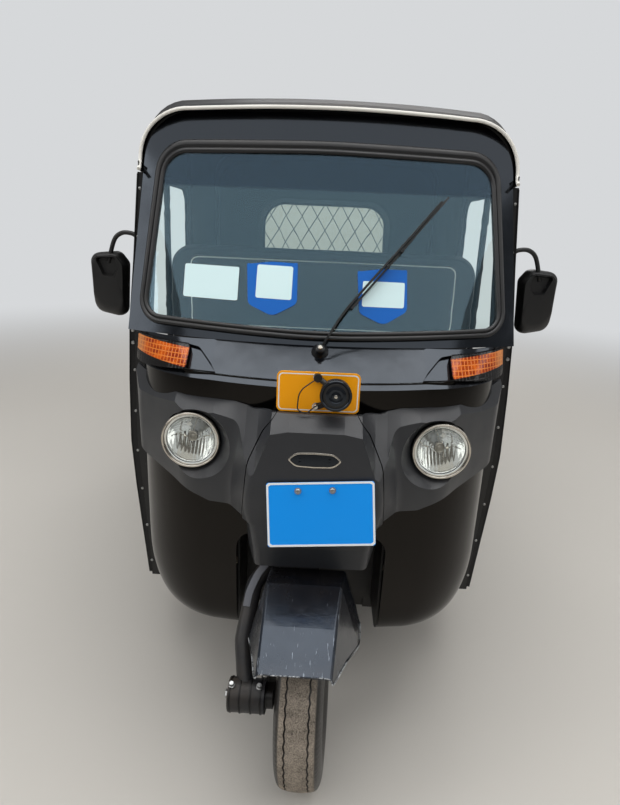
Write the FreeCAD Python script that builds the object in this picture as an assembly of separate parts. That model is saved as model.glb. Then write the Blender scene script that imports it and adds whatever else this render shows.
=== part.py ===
import FreeCAD
import Part
import math
import os

# Three-wheeled auto rickshaw, in millimetres.
# The origin is on the ground under the middle of the vehicle, +Z is up, the nose faces -Y,
# and +X is the driver's left. Places along the vehicle are given as s, the distance behind
# the front axle, so the nose has small or negative values and the tail has large ones.

# Overall sizes
overall_length = 2635.0
overall_width = 1300.0
wheelbase = 2000.0
front_overhang = 250.0
tail_s = overall_length - front_overhang
front_axle_y = front_overhang - overall_length / 2.0

# Tyres, rims and brakes
tyre_radius = 207.5
tyre_width = 107.0
tread_width = 82.0
rim_radius = 101.6
rim_width = 80.0
rim_flange = 14.0
rim_wall = 4.0
drum_radius = 84.0
hub_radius = 26.0
stub_radius = 12.0
rear_track = 1130.0
wheel_z = tyre_radius

# Steering
rake_deg = 24.0
parked_steer_deg = -4.0
column_radius = 22.0
head_wall = 7.0
head_low_z = 616.0
head_high_z = 895.0
bearing_gap = 0.05

# Sheet metal, plastic and fabric
panel = 5.0
fascia_wall = 7.0
fabric = 6.0
hoop_gap = 1.6
seat_gap = 0.3

# Floor, sills and frame rails
floor_z = 300.0
floor_sheet = 8.0
rail_height = 40.0
rail_width = 40.0
rail_x = 180.0
rear_rail_x = 350.0
sill_height = 38.0
sill_width = 30.0
post_s = 436.0
post_depth = 40.0
post_top_z = 1440.0
header_z = 1452.0
riser_s = 1480.0
floor_front_x = 486.0
floor_middle_x = 580.0
floor_middle_s = 1018.0
floor_rear_x = 594.0

# Front wheel well
well_half_width = 185.0
well_top_z = 606.0
well_back_s = 300.0

# Nose: bottom edge of the cowl, its top edge at the windscreen, and the pressing behind
cowl_low_z = 985.0
cowl_high_z = 1056.0
pocket_depth = 12.0
apron_low_z = 292.0

# Windscreen
glass_thick = 5.0
screen_low_z = 1040.0
screen_high_z = 1610.0
screen_low_s = 173.0
screen_high_s = 423.0
screen_low_bow = 118.0
screen_high_bow = 60.0
screen_half = 490.0
glass_low_z = 1080.0
glass_high_z = 1502.0
glass_low_x = 447.0
glass_high_x = 416.0
seal_width = 15.0
seal_top_share = 1.6
seal_thick = 16.0

# Headlamps, indicators and plates
lamp_x = 291.0
lamp_s = 80.0
lamp_z = 841.0
lamp_radius = 63.0
bezel_width = 5.0
lamp_depth = 90.0
bowl_radius = 58.0
bowl_wall = 3.0
cup_radius = 106.0
cup_depth = 50.0
cup_wall = 4.0
indicator_out = 12.0
plate_width = 232.0
plate_height = 140.0
plate_x = 17.5
plate_z = 740.0
plate_s = -64.0
plate_thick = 2.0
plate_lean_deg = 13.0
plate_turn_deg = 4.0
plate_stud_x = 37.0
plate_stud_shift = -11.0
plate_stud_rise = 52.0
plate_stud_radius = 6.0
horn_board_width = 180.0
horn_board_height = 90.0
horn_board_z = 986.0
horn_board_s = 22.0
horn_board_thick = 4.0
horn_x = 37.0
horn_z = 993.0
horn_radius = 33.0
horn_lead_radius = 1.4

# Canopy: the roof skin from the front edge to the tail
canopy_low_z = 930.0
eave_drop = 151.0
canopy_corner = 135.0
roof_camber = 16.0
tube_radius = 11.0
window_half = 340.0
window_low_z = 1130.0
window_high_z = 1410.0

# Body at the back
quarter_x = 604.0
quarter_s = 2362.0
quarter_corner = 60.0
door_half = 330.0
door_gap = 5.0
hinge_radius = 6.5
hinge_pin = 3.0
hinge_stand = 7.0
door_high_z = 632.0
door_low_z = 310.0
arch_radius = 262.0
housing_radius = 275.0
flare_width = 30.0

hinge_places = (-220.0, 220.0)
plate_holes_x = 180.0
plate_holes_z = 750.0
plate_holes_rise = 60.0
plate_hole = 3.5

# Seats
driver_seat_half = 260.0
driver_box_front_s = 745.0
partition_s = 1006.0
driver_box_top_z = 520.0
driver_cushion = 92.0
partition_top_z = 1214.0
pad_half = 480.0
pad_low_z = 944.0
pad_depth = 50.0
bench_top_z = 526.0
bench_cushion = 116.0
bench_front_s = 1490.0
backrest_s = 1950.0
bulkhead_s = 2040.0
backrest_top_z = 1120.0
bench_half = 590.0
shelf_z = 660.0


def point(x, s, z):
    return FreeCAD.Vector(x, front_axle_y + s, z)


def box(x_low, x_high, s_low, s_high, z_low, z_high):
    corner = point(x_low, s_low, z_low)
    return Part.makeBox(x_high - x_low, s_high - s_low, z_high - z_low, corner)


def rod(start, end, radius):
    # A round bar between two points that point() has placed
    along = end.sub(start)
    return Part.makeCylinder(radius, along.Length, start, along)


def cross_rod(x_low, x_high, s, z, radius):
    # A round bar that lies across the vehicle
    return rod(point(x_low, s, z), point(x_high, s, z), radius)


def mirrored(shape):
    return shape.mirror(FreeCAD.Vector(0, 0, 0), FreeCAD.Vector(1, 0, 0))


def both_sides(shape):
    return Part.makeCompound([shape, mirrored(shape)])


def fused(shapes):
    whole = shapes[0].fuse(shapes[1:]) if len(shapes) > 1 else shapes[0]
    return whole.removeSplitter()


def rounded_wire(corners, place):
    # Each corner is (a, b, radius); place turns a and b into a point
    count = len(corners)
    turns = []
    for index in range(count):
        a, b, radius = corners[index]
        before = corners[index - 1]
        after = corners[(index + 1) % count]
        before_length = math.hypot(before[0] - a, before[1] - b)
        after_length = math.hypot(after[0] - a, after[1] - b)
        back = ((before[0] - a) / before_length, (before[1] - b) / before_length)
        ahead = ((after[0] - a) / after_length, (after[1] - b) / after_length)
        cosine = back[0] * ahead[0] + back[1] * ahead[1]
        half = math.acos(max(-1.0, min(1.0, cosine))) / 2.0
        if radius <= 0.0:
            turns.append(((a, b), None, (a, b)))
            continue
        reach = radius / math.tan(half)
        inward = (back[0] + ahead[0], back[1] + ahead[1])
        length = math.hypot(inward[0], inward[1])
        depth = radius / math.sin(half) - radius
        start = (a + back[0] * reach, b + back[1] * reach)
        middle = (a + inward[0] / length * depth, b + inward[1] / length * depth)
        finish = (a + ahead[0] * reach, b + ahead[1] * reach)
        turns.append((start, middle, finish))
    edges = []
    for index in range(count):
        start, middle, finish = turns[index]
        if middle is not None:
            arc = Part.Arc(place(*start), place(*middle), place(*finish))
            edges.append(arc.toShape())
        following = turns[(index + 1) % count][0]
        if math.hypot(following[0] - finish[0], following[1] - finish[1]) > 0.001:
            edges.append(Part.makeLine(place(*finish), place(*following)))
    return Part.Wire(edges)


def across(corners, x_low, x_high):
    # An outline in (s, z), given width across the vehicle
    wire = rounded_wire(corners, lambda s, z: point(x_low, s, z))
    return Part.Face(wire).extrude(FreeCAD.Vector(x_high - x_low, 0, 0))


def along(corners, s_low, s_high):
    # An outline in (x, z), given length along the vehicle
    wire = rounded_wire(corners, lambda x, z: point(x, s_low, z))
    return Part.Face(wire).extrude(FreeCAD.Vector(0, s_high - s_low, 0))


def upright(corners, z_low, z_high):
    # An outline in (x, s), given height
    wire = rounded_wire(corners, lambda x, s: point(x, s, z_low))
    return Part.Face(wire).extrude(FreeCAD.Vector(0, 0, z_high - z_low))


def bent_tube(route, radius, bends):
    # Straight runs joined by tangent arcs; bends holds one bend radius per inner point
    edges = []
    start = route[0]
    for index in range(1, len(route) - 1):
        bend = bends[index - 1]
        corner = route[index]
        back = route[index - 1].sub(corner).normalize()
        ahead = route[index + 1].sub(corner).normalize()
        half = back.getAngle(ahead) / 2.0
        reach = bend / math.tan(half)
        inward = back.add(ahead).normalize()
        first = corner.add(FreeCAD.Vector(back).multiply(reach))
        last = corner.add(FreeCAD.Vector(ahead).multiply(reach))
        depth = bend / math.sin(half) - bend
        middle = corner.add(FreeCAD.Vector(inward).multiply(depth))
        edges.append(Part.makeLine(start, first))
        edges.append(Part.Arc(first, middle, last).toShape())
        start = last
    edges.append(Part.makeLine(start, route[-1]))
    path = Part.Wire(edges)
    direction = route[1].sub(route[0])
    circle = Part.Wire([Part.makeCircle(radius, route[0], direction)])
    return path.makePipeShell([circle], True, True)


def spun(profile, x_centre, s, z):
    # A closed profile of (x, radius, corner radius) turned about a cross axis
    wire = rounded_wire(profile, lambda x, r: point(x_centre + x, s, z + r))
    return Part.Face(wire).revolve(point(0, s, z), FreeCAD.Vector(1, 0, 0), 360)


def screen_s(z):
    # Where the windscreen's centre line lies at a height
    share = (z - screen_low_z) / (screen_high_z - screen_low_z)
    return screen_low_s + share * (screen_high_s - screen_low_s)


def screen_plate(front, thick):
    # A slice of the bowed windscreen surface, from front behind it, thick deep
    wires = []
    for z, centre_s, bow in (
        (screen_low_z - 20.0, screen_s(screen_low_z - 20.0), screen_low_bow),
        (screen_high_z, screen_high_s, screen_high_bow),
    ):
        near = centre_s + front
        far = near + thick
        edges = [
            Part.Arc(
                point(-screen_half - 20.0, near + bow, z),
                point(0, near, z),
                point(screen_half + 20.0, near + bow, z),
            ).toShape(),
            Part.makeLine(
                point(screen_half + 20.0, near + bow, z), point(screen_half + 20.0, far + bow, z)
            ),
            Part.Arc(
                point(screen_half + 20.0, far + bow, z),
                point(0, far, z),
                point(-screen_half - 20.0, far + bow, z),
            ).toShape(),
            Part.makeLine(
                point(-screen_half - 20.0, far + bow, z), point(-screen_half - 20.0, near + bow, z)
            ),
        ]
        wires.append(Part.Wire(edges))
    return Part.makeLoft(wires, True, True)


def screen_outline(grow):
    # The glass seen from in front, grown by an amount
    low = glass_low_z - grow
    high = glass_high_z + seal_top_share * grow
    corners = [
        (-glass_low_x - grow, low + 14.0, 42.0 + grow),
        (0.0, low, 3000.0),
        (glass_low_x + grow, low + 14.0, 42.0 + grow),
        (glass_high_x + grow, high - 8.0, 66.0 + grow),
        (0.0, high, 3000.0),
        (-glass_high_x - grow, high - 8.0, 66.0 + grow),
    ]
    return along(corners, -100.0, 700.0)


def nose_wire(z, front, shoulder, corner, side_x, back_s, inset):
    # Plan of the nose at one height: a flat front arc, two corner arcs and two sides
    shoulder_x = shoulder[0] - 0.25 * inset
    shoulder_s = shoulder[1] + 0.97 * inset
    corner_x = corner[0] - 0.85 * inset
    corner_s = corner[1] + 0.50 * inset
    side_x = side_x - inset
    middle_x = (shoulder_x + corner_x) / 2.0 + 0.13 * (corner_s - shoulder_s)
    middle_s = (shoulder_s + corner_s) / 2.0 - 0.13 * (corner_x - shoulder_x)
    edges = [
        Part.makeLine(point(side_x, back_s, z), point(-side_x, back_s, z)),
        Part.makeLine(point(-side_x, back_s, z), point(-corner_x, corner_s, z)),
        Part.Arc(
            point(-corner_x, corner_s, z),
            point(-middle_x, middle_s, z),
            point(-shoulder_x, shoulder_s, z),
        ).toShape(),
        Part.Arc(
            point(-shoulder_x, shoulder_s, z),
            point(0.0, front + inset, z),
            point(shoulder_x, shoulder_s, z),
        ).toShape(),
        Part.Arc(
            point(shoulder_x, shoulder_s, z),
            point(middle_x, middle_s, z),
            point(corner_x, corner_s, z),
        ).toShape(),
        Part.makeLine(point(corner_x, corner_s, z), point(side_x, back_s, z)),
    ]
    return Part.Wire(edges)


def nose_solid(stations, back_s, inset):
    wires = [nose_wire(*station, back_s, inset) for station in stations]
    return Part.makeLoft(wires, True, False)


# Plan of the nose by height: z, front s, shoulder (x, s), corner (x, s), side x
apron_stations = [
    (apron_low_z, 168.0, (236.0, 182.0), (345.0, 275.0), 430.0),
    (322.0, 122.0, (256.0, 142.0), (388.0, 250.0), 458.0),
    (400.0, 98.0, (268.0, 120.0), (424.0, 240.0), 472.0),
    (560.0, 84.0, (276.0, 108.0), (438.0, 238.0), 478.0),
    (780.0, 76.0, (268.0, 102.0), (441.0, 244.0), 479.0),
    (860.0, 73.0, (262.0, 103.0), (441.0, 252.0), 479.0),
    (930.0, 70.0, (256.0, 104.0), (441.0, 260.0), 479.0),
    (cowl_low_z + 12.0, 66.0, (250.0, 106.0), (441.0, 268.0), 479.0),
]
cowl_stations = [
    (cowl_low_z, 50.0, (250.0, 92.0), (452.0, 262.0), 488.0),
    (cowl_high_z, 178.0, (250.0, 205.0), (455.0, 288.0), 488.0),
]

pieces = {}


def apron_hollow(inset):
    # The space inside the nose pressing, above its own floor
    space = nose_solid(apron_stations, post_s + 40.0, inset)
    return space.cut(box(-700.0, 700.0, -200.0, 700.0, apron_low_z - 10.0, floor_z))


def front_apron():
    # Painted pressing of the nose and the two leg shields, hollow, with a floor of its own
    outer = nose_solid(apron_stations, post_s, 0.0)
    inner = apron_hollow(panel)
    well = along(
        [
            (-well_half_width, 100.0, 0.0),
            (well_half_width, 100.0, 0.0),
            (well_half_width, well_top_z, 50.0),
            (-well_half_width, well_top_z, 50.0),
        ],
        -100.0,
        well_back_s,
    )
    pressing = outer.cut(inner).cut(well)
    for side in (-1, 1):
        pressing = pressing.cut(lamp_rod(side, 0.0, 200.0, bowl_radius + seat_gap))
    return pressing


def lamp_rod(side, near, far, radius):
    # A round bar on a lamp's axis, between two depths behind the lamp's front
    return rod(
        point(side * lamp_x, lamp_s + near, lamp_z),
        point(side * lamp_x, lamp_s + far, lamp_z),
        radius,
    )


def wheel_well():
    # Box liner over the front wheel, open below and in front, with a hole for the column
    outer = along(
        [
            (-well_half_width, apron_low_z, 0.0),
            (well_half_width, apron_low_z, 0.0),
            (well_half_width, well_top_z, 50.0),
            (-well_half_width, well_top_z, 50.0),
        ],
        130.0,
        well_back_s,
    )
    inner = along(
        [
            (-well_half_width + panel, apron_low_z - 50.0, 0.0),
            (well_half_width - panel, apron_low_z - 50.0, 0.0),
            (well_half_width - panel, well_top_z - panel, 46.0),
            (-well_half_width + panel, well_top_z - panel, 46.0),
        ],
        0.0,
        well_back_s - panel,
    )
    nose = nose_solid(apron_stations, post_s, 0.0)
    hole = steering_rod(500.0, 700.0, column_radius + head_wall + 6.0)
    return outer.cut(inner).common(nose).cut(hole)


def steering_point(z):
    # A point of the steering axis, which passes through the front wheel's centre
    return point(0.0, (z - wheel_z) * math.tan(math.radians(rake_deg)), z)


def steering_rod(z_low, z_high, radius):
    return rod(steering_point(z_low), steering_point(z_high), radius)


def parked(shape):
    # The steering as it stands in the picture, turned a little to the driver's right
    turned = shape.copy()
    axis = steering_point(1000.0).sub(steering_point(0.0))
    turned.rotate(steering_point(0.0), axis, parked_steer_deg)
    return turned


def chassis_frame():
    # Box rails below the floor, a rear subframe, cross members, the steering head and its web
    top = floor_z - floor_sheet
    low = top - rail_height
    half = rail_width / 2.0
    parts = []
    for side in (-1, 1):
        parts.append(box(side * rail_x - half, side * rail_x + half, 312.0, 1600.0, low, top))
        parts.append(
            box(side * rear_rail_x - half, side * rear_rail_x + half, 1490.0, 2340.0, low, top)
        )
    for s in (320.0, 1000.0, 1500.0):
        parts.append(box(-rear_rail_x - half, rear_rail_x + half, s, s + 45.0, low, top))
    for s in (1850.0, 2295.0):
        parts.append(box(-rear_rail_x - half, rear_rail_x + half, s, s + 45.0, low, top))
    tow = across(
        [
            (2330.0, low + 4.0, 0.0),
            (2330.0, low - 46.0, 18.0),
            (2290.0, low - 46.0, 18.0),
            (2290.0, low + 4.0, 0.0),
        ],
        -6.0,
        6.0,
    )
    parts.append(tow)
    frame = fused(parts)
    frame = frame.cut(cross_rod(-20.0, 20.0, 2310.0, low - 24.0, 11.0))
    web = across(
        [
            (well_back_s + 4.0, floor_z, 0.0),
            (post_s - 10.0, floor_z, 0.0),
            (360.0, 860.0, 20.0),
            (300.0, 860.0, 0.0),
            (215.0, well_top_z + 6.0, 0.0),
            (well_back_s + 4.0, well_top_z + 6.0, 0.0),
        ],
        -28.0,
        28.0,
    )
    head = steering_rod(head_low_z, head_high_z, column_radius + head_wall)
    bore = steering_rod(head_low_z - 60.0, head_high_z + 60.0, column_radius + bearing_gap)
    skirt = box(-60.0, 60.0, well_back_s + 4.0, post_s - 10.0, floor_z, floor_z + 10.0)
    post = fused([web, head, skirt]).cut(bore)
    return Part.makeCompound([frame, post])


def floor_pan():
    # Flat floor with lengthwise swages and the sills along its edges
    right = [(floor_front_x, post_s), (floor_middle_x, floor_middle_s), (floor_rear_x, riser_s)]
    rim_line = [(-x, s, 0.0) for x, s in right] + [(x, s, 0.0) for x, s in right[::-1]]
    sheet = upright(rim_line, floor_z - floor_sheet, floor_z)
    parts = [sheet]
    for x in (-330.0, -220.0, -110.0, 0.0, 110.0, 220.0, 330.0):
        swage = [
            (x - 14.0, floor_z - 1.0, 0.0),
            (x + 14.0, floor_z - 1.0, 0.0),
            (x + 8.0, floor_z + 5.0, 0.0),
            (x - 8.0, floor_z + 5.0, 0.0),
        ]
        parts.append(along(swage, post_s + 40.0, driver_box_front_s - 20.0))
        parts.append(along(swage, partition_s + 40.0, riser_s - 40.0))
    sill = [(x - sill_width, s, 0.0) for x, s in right] + [(x, s, 0.0) for x, s in right[::-1]]
    parts.append(upright(sill, floor_z - floor_sheet - sill_height, floor_z - floor_sheet))
    parts.append(mirrored(parts[-1]))
    return fused(parts)


def front_cowl():
    # Gloss panel between the lower cowl line and the windscreen
    outer = nose_solid(cowl_stations, post_s, 0.0)
    inner = nose_solid(cowl_stations, post_s + 40.0, panel)
    cowl = outer.cut(inner)
    behind = nose_solid(cowl_stations, post_s + 40.0, pocket_depth + panel)
    floor = nose_solid(cowl_stations, post_s + 40.0, pocket_depth)
    rear = box(-700.0, 700.0, 280.0, 600.0, 900.0, 1100.0)
    wall = outer.cut(behind).common(pocket_outline(panel)).cut(rear)
    cowl = fused([cowl, both_sides(wall)])
    cowl = cowl.cut(both_sides(pocket_outline(0.0).cut(floor).cut(rear)))
    return largest(cowl.cut(nose_solid(apron_stations, post_s, -seat_gap)))


def pocket_outline(grow):
    # The dip that leads into each front indicator, seen from in front
    return along(
        [
            (234.0 - 2.0 * grow, 994.0 - grow, 0.0),
            (316.0 + grow, 990.0 - grow, 0.0),
            (316.0 + grow, 1045.0 + grow, 0.0),
            (288.0, 1041.0 + grow, 20.0),
            (254.0 - grow, 1014.0 + grow, 20.0),
        ],
        -100.0,
        280.0,
    )


# Plan of the plastic fascia by height: z, prow (s, x), wing root (x, s),
# wing middle (x, s), wing corner (x, s), side x
fascia_stations = [
    (690.0, (-30.0, 140.0), (196.0, 52.0), (300.0, 82.0), (440.0, 222.0), 470.0),
    (790.0, (-42.0, 142.0), (192.0, 44.0), (300.0, 60.0), (446.0, 212.0), 482.0),
    (900.0, (-35.0, 114.0), (178.0, 50.0), (300.0, 68.0), (450.0, 226.0), 486.0),
    (972.0, (-34.0, 106.0), (174.0, 50.0), (300.0, 76.0), (455.0, 232.0), 490.0),
]

# The fascia's sloping top face from the middle outwards: x, its front edge (s, z), its rear edge (s, z)
roof_stations = [
    (0.0, (-37.0, 910.0), (5.0, 942.0)),
    (60.0, (-37.0, 910.0), (5.0, 942.0)),
    (98.0, (-33.0, 906.0), (9.0, 939.0)),
    (130.0, (12.0, 884.0), (48.0, 930.0)),
    (160.0, (40.0, 884.0), (76.0, 930.0)),
    (190.0, (48.0, 903.0), (84.0, 936.0)),
    (235.0, (56.0, 914.0), (98.0, 940.0)),
    (332.0, (84.0, 912.0), (122.0, 936.0)),
    (400.0, (165.0, 908.0), (210.0, 938.0)),
    (480.0, (264.0, 918.0), (308.0, 946.0)),
]
roof_near_s = -100.0
roof_far_s = 380.0
roof_base_z = 500.0


def fascia_wire(z, prow, root, middle, corner, side_x, back_s, inset):
    right = [
        (prow[1] - 0.3 * inset, prow[0] + inset, 18.0),
        (root[0] - 0.5 * inset, root[1] + 0.8 * inset, 30.0),
        (middle[0] - 0.3 * inset, middle[1] + inset, 90.0),
        (corner[0] - 0.8 * inset, corner[1] + 0.6 * inset, 60.0),
        (side_x - inset, back_s, 0.0),
    ]
    left = [(-x, s, radius) for x, s, radius in reversed(right)]
    return rounded_wire(right + left, lambda x, s: point(x, s, z))


def fascia_roof(inset):
    # The space below the sloping top face, which changes its slope across the fascia
    left = [(-x, front, rear) for x, front, rear in reversed(roof_stations[1:])]
    wires = []
    for x, front, rear in left + roof_stations:
        slope = (rear[1] - front[1]) / (rear[0] - front[0])
        top = front[1] - inset * math.hypot(1.0, slope)
        near_z = top + slope * (roof_near_s - front[0])
        far_z = top + slope * (roof_far_s - front[0])
        wires.append(Part.makePolygon([
            point(x, roof_near_s, roof_base_z),
            point(x, roof_near_s, near_z),
            point(x, roof_far_s, far_z),
            point(x, roof_far_s, roof_base_z),
            point(x, roof_near_s, roof_base_z),
        ]))
    return Part.makeLoft(wires, True, True)


def fascia_solid(back_s, inset):
    wires = [fascia_wire(*station, back_s, inset) for station in fascia_stations]
    return Part.makeLoft(wires, True, False).common(fascia_roof(inset))


def fascia_shell():
    shell = fascia_solid(330.0, 0.0).cut(fascia_solid(360.0, fascia_wall))
    return shell.cut(nose_solid(apron_stations, post_s, -seat_gap))


def wing_outline():
    return [
        (89.0, 941.0, 0.0),
        (118.0, 900.0, 60.0),
        (150.0, 830.0, 80.0),
        (160.0, 700.0, 0.0),
        (246.0, 696.0, 18.0),
        (340.0, 736.0, 160.0),
        (430.0, 758.0, 60.0),
        (474.0, 778.0, 20.0),
        (490.0, 960.0, 10.0),
        (400.0, 944.0, 200.0),
        (300.0, 939.0, 300.0),
        (190.0, 939.0, 60.0),
        (145.0, 930.0, 40.0),
        (104.0, 940.0, 20.0),
    ]


def fascia_wings(shell):
    # Each wing dips in a cup round its lamp
    outline = along(wing_outline(), -120.0, 400.0)
    ring = lamp_radius + bezel_width + 1.0
    start = point(lamp_x, lamp_s - cup_depth + 8.0, lamp_z)
    axis = FreeCAD.Vector(0, 1, 0)
    cup = Part.makeCone(cup_radius, ring + cup_wall, cup_depth, start, axis)
    dip = Part.makeCone(cup_radius - cup_wall, ring, cup_depth, start, axis)
    wall = cup.cut(dip).common(fascia_solid(330.0, 0.0)).common(outline)
    wall = wall.cut(nose_solid(apron_stations, post_s, -seat_gap))
    wing = fused([shell.common(outline).cut(cup), wall])
    return both_sides(largest(wing.cut(lamp_rod(1, -120.0, 200.0, ring))))


def headlamps():
    # Round lamp bowls through the pressing, each with a bezel in front
    bezel = lamp_radius + bezel_width
    front = lamp_rod(1, -4.0, 4.0, bezel)
    bowl = lamp_rod(1, 2.0, lamp_depth, bowl_radius)
    hollow = Part.makeCone(
        bowl_radius - bowl_wall, 20.0, lamp_depth - 20.0,
        point(lamp_x, lamp_s + 8.0, lamp_z), FreeCAD.Vector(0, 1, 0)
    )
    seat = lamp_rod(1, -10.0, 8.5, bowl_radius - bowl_wall)
    rebate = lamp_rod(1, -10.0, 2.0, lamp_radius)
    return both_sides(fused([bowl, front]).cut(hollow).cut(seat).cut(rebate))


def headlamp_lenses():
    # Domed clear covers
    dome_radius = 160.0
    centre_s = lamp_s - 10.0 + dome_radius
    dome = Part.makeSphere(dome_radius, point(lamp_x, centre_s, lamp_z))
    dome = dome.cut(Part.makeSphere(dome_radius - 4.0, point(lamp_x, centre_s, lamp_z)))
    disc = lamp_rod(1, -40.0, 1.7, lamp_radius - seat_gap)
    return both_sides(dome.common(disc))


def front_indicators():
    # Amber lenses that wrap the cowl's corners
    skin = nose_solid(cowl_stations, post_s, -indicator_out)
    core = nose_solid(cowl_stations, post_s, 0.0)
    lens = along(
        [
            (311.0, 1001.0, 6.0),
            (436.0, 991.0, 6.0),
            (459.0, 991.0, 6.0),
            (459.0, 1053.0, 6.0),
            (436.0, 1052.0, 6.0),
            (311.0, 1046.0, 6.0),
        ],
        -50.0,
        330.0,
    )
    lens = skin.cut(core).common(lens).cut(box(0.0, 600.0, 300.0, 500.0, 900.0, 1100.0))
    lens = lens.cut(nose_solid(apron_stations, post_s, -seat_gap))
    return both_sides(lens)


def windscreen_frame():
    # Painted surround of the windscreen, with a return plate on each side
    outline = along(
        [
            (-489.0, cowl_high_z, 0.0),
            (489.0, cowl_high_z, 0.0),
            (466.0, 1592.0, 125.0),
            (-466.0, 1592.0, 125.0),
        ],
        -100.0,
        700.0,
    )
    ring = screen_plate(0.0, panel).common(outline).cut(screen_outline(seal_width))
    side = across(
        [
            (292.0, cowl_high_z, 0.0),
            (post_s, cowl_high_z, 0.0),
            (post_s, 1400.0, 0.0),
            (438.0, 1400.0, 0.0),
        ],
        -489.0,
        489.0,
    )
    side = side.common(outline).cut(screen_plate(-200.0, 200.0))
    hollow = along(
        [
            (-489.0 + panel, cowl_high_z - 10.0, 0.0),
            (489.0 - panel, cowl_high_z - 10.0, 0.0),
            (466.0 - panel, 1592.0, 0.0),
            (-466.0 + panel, 1592.0, 0.0),
        ],
        -100.0,
        700.0,
    )
    return fused([ring, side.cut(hollow)])


def windscreen_glass():
    return screen_plate(0.0, glass_thick).common(screen_outline(0.0))


def windscreen_seal():
    seal = screen_plate(-6.0, seal_thick).common(screen_outline(seal_width))
    seal = seal.cut(screen_outline(-6.0))
    return seal.cut(windscreen_glass())


def on_screen(x, z, off):
    # A point in front of the windscreen by an amount
    share = (z - screen_low_z) / (screen_high_z - screen_low_z)
    bow = screen_low_bow + share * (screen_high_bow - screen_low_bow)
    return point(x, screen_s(z) + bow * (x / (screen_half + 20.0)) ** 2 - off, z)


def wiper(cowl, seal):
    # Pivot boss, tapered arm and the rubber blade on the glass
    pivot = point(0.0, 158.0, 1046.0)
    boss = rod(point(0.0, 170.0, 1034.0), point(0.0, 140.0, 1058.0), 17.0)
    cap = rod(point(0.0, 156.0, 1046.0), point(0.0, 130.0, 1066.0), 9.0)
    start = point(0.0, 142.0, 1060.0)
    middle = on_screen(70.0, 1150.0, 26.0)
    tip = on_screen(280.0, 1390.0, 22.0)
    arm = fused([rod(start, middle, 5.0), rod(middle, tip, 4.0)])
    blade_low = on_screen(60.0, 1130.0, 8.0)
    blade_high = on_screen(298.0, 1402.0, 8.0)
    blade = rod(blade_low, blade_high, 4.0)
    link = rod(on_screen(180.0, 1268.0, 6.0), on_screen(178.0, 1272.0, 28.0), 5.0)
    whole = fused([boss, cap, arm, blade, link])
    whole = whole.cut(cowl).cut(seal)
    return largest(whole.cut(screen_plate(0.0, 60.0)))


def fascia_centre(shell):
    # Prow between the wings, carrying the number plate, down to the edge over the mudguard
    outline = [
        (87.5, 941.0, 0.0),
        (116.0, 899.0, 60.0),
        (148.0, 829.0, 80.0),
        (158.5, 700.0, 0.0),
        (158.5, 690.5, 0.0),
    ]
    left = [(-x, z, radius) for x, z, radius in reversed(outline)]
    upper = shell.common(along(outline + left, -120.0, 400.0))
    sections = []
    for z, s, x, root_x in (
        (572.0, -6.0, 128.0, 158.0),
        (630.0, -22.0, 132.0, 164.0),
        (691.5, -30.0, 140.0, 172.0),
    ):
        wire = rounded_wire(
            [
                (-root_x, 110.0, 0.0),
                (-x, s, 18.0),
                (x, s, 18.0),
                (root_x, 110.0, 0.0),
            ],
            lambda a, b, z=z: point(a, b, z),
        )
        sections.append(wire)
    lower = Part.makeLoft(sections, True, True)
    lower = lower.cut(lower.copy().translated(FreeCAD.Vector(0, fascia_wall, 0)).common(
        box(-150.0, 150.0, -100.0, 300.0, 560.0, 700.0)))
    lower = lower.cut(nose_solid(apron_stations, post_s, -seat_gap))
    return fused([upper, lower])


def number_plate(prow):
    # Blank plate on two studs, which leans back and isn't quite level
    half = plate_width / 2.0
    rise = plate_height / 2.0
    parts = [
        along(
            [
                (plate_x - half, plate_z - rise, 5.0),
                (plate_x + half, plate_z - rise, 5.0),
                (plate_x + half, plate_z + rise, 5.0),
                (plate_x - half, plate_z + rise, 5.0),
            ],
            plate_s,
            plate_s + plate_thick,
        )
    ]
    stud_middle = plate_x + plate_stud_shift
    for x in (stud_middle - plate_stud_x, stud_middle + plate_stud_x):
        z = plate_z + plate_stud_rise
        parts.append(rod(point(x, plate_s - 3.0, z), point(x, 0.0, z), plate_stud_radius))
    plate = fused(parts)
    centre = point(plate_x, plate_s, plate_z)
    plate.rotate(centre, FreeCAD.Vector(1, 0, 0), -plate_lean_deg)
    plate.rotate(centre, FreeCAD.Vector(0, 1, 0), -plate_turn_deg)
    return largest(plate.cut(prow))


def horn_plate(cowl, apron):
    # Rounded board over the cowl line
    half = horn_board_width / 2.0
    low = horn_board_z - horn_board_height / 2.0
    high = horn_board_z + horn_board_height / 2.0
    board = along(
        [(-half, low, 12.0), (half, low, 12.0), (half, high, 12.0), (-half, high, 12.0)],
        horn_board_s,
        horn_board_s + horn_board_thick,
    )
    parts = [board]
    for z in (horn_board_z - 12.0, horn_board_z + 6.0):
        parts.append(rod(point(0.0, horn_board_s + 2.0, z), point(0.0, 110.0, z), 5.0))
    return largest(fused(parts).cut(cowl).cut(apron))


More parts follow.
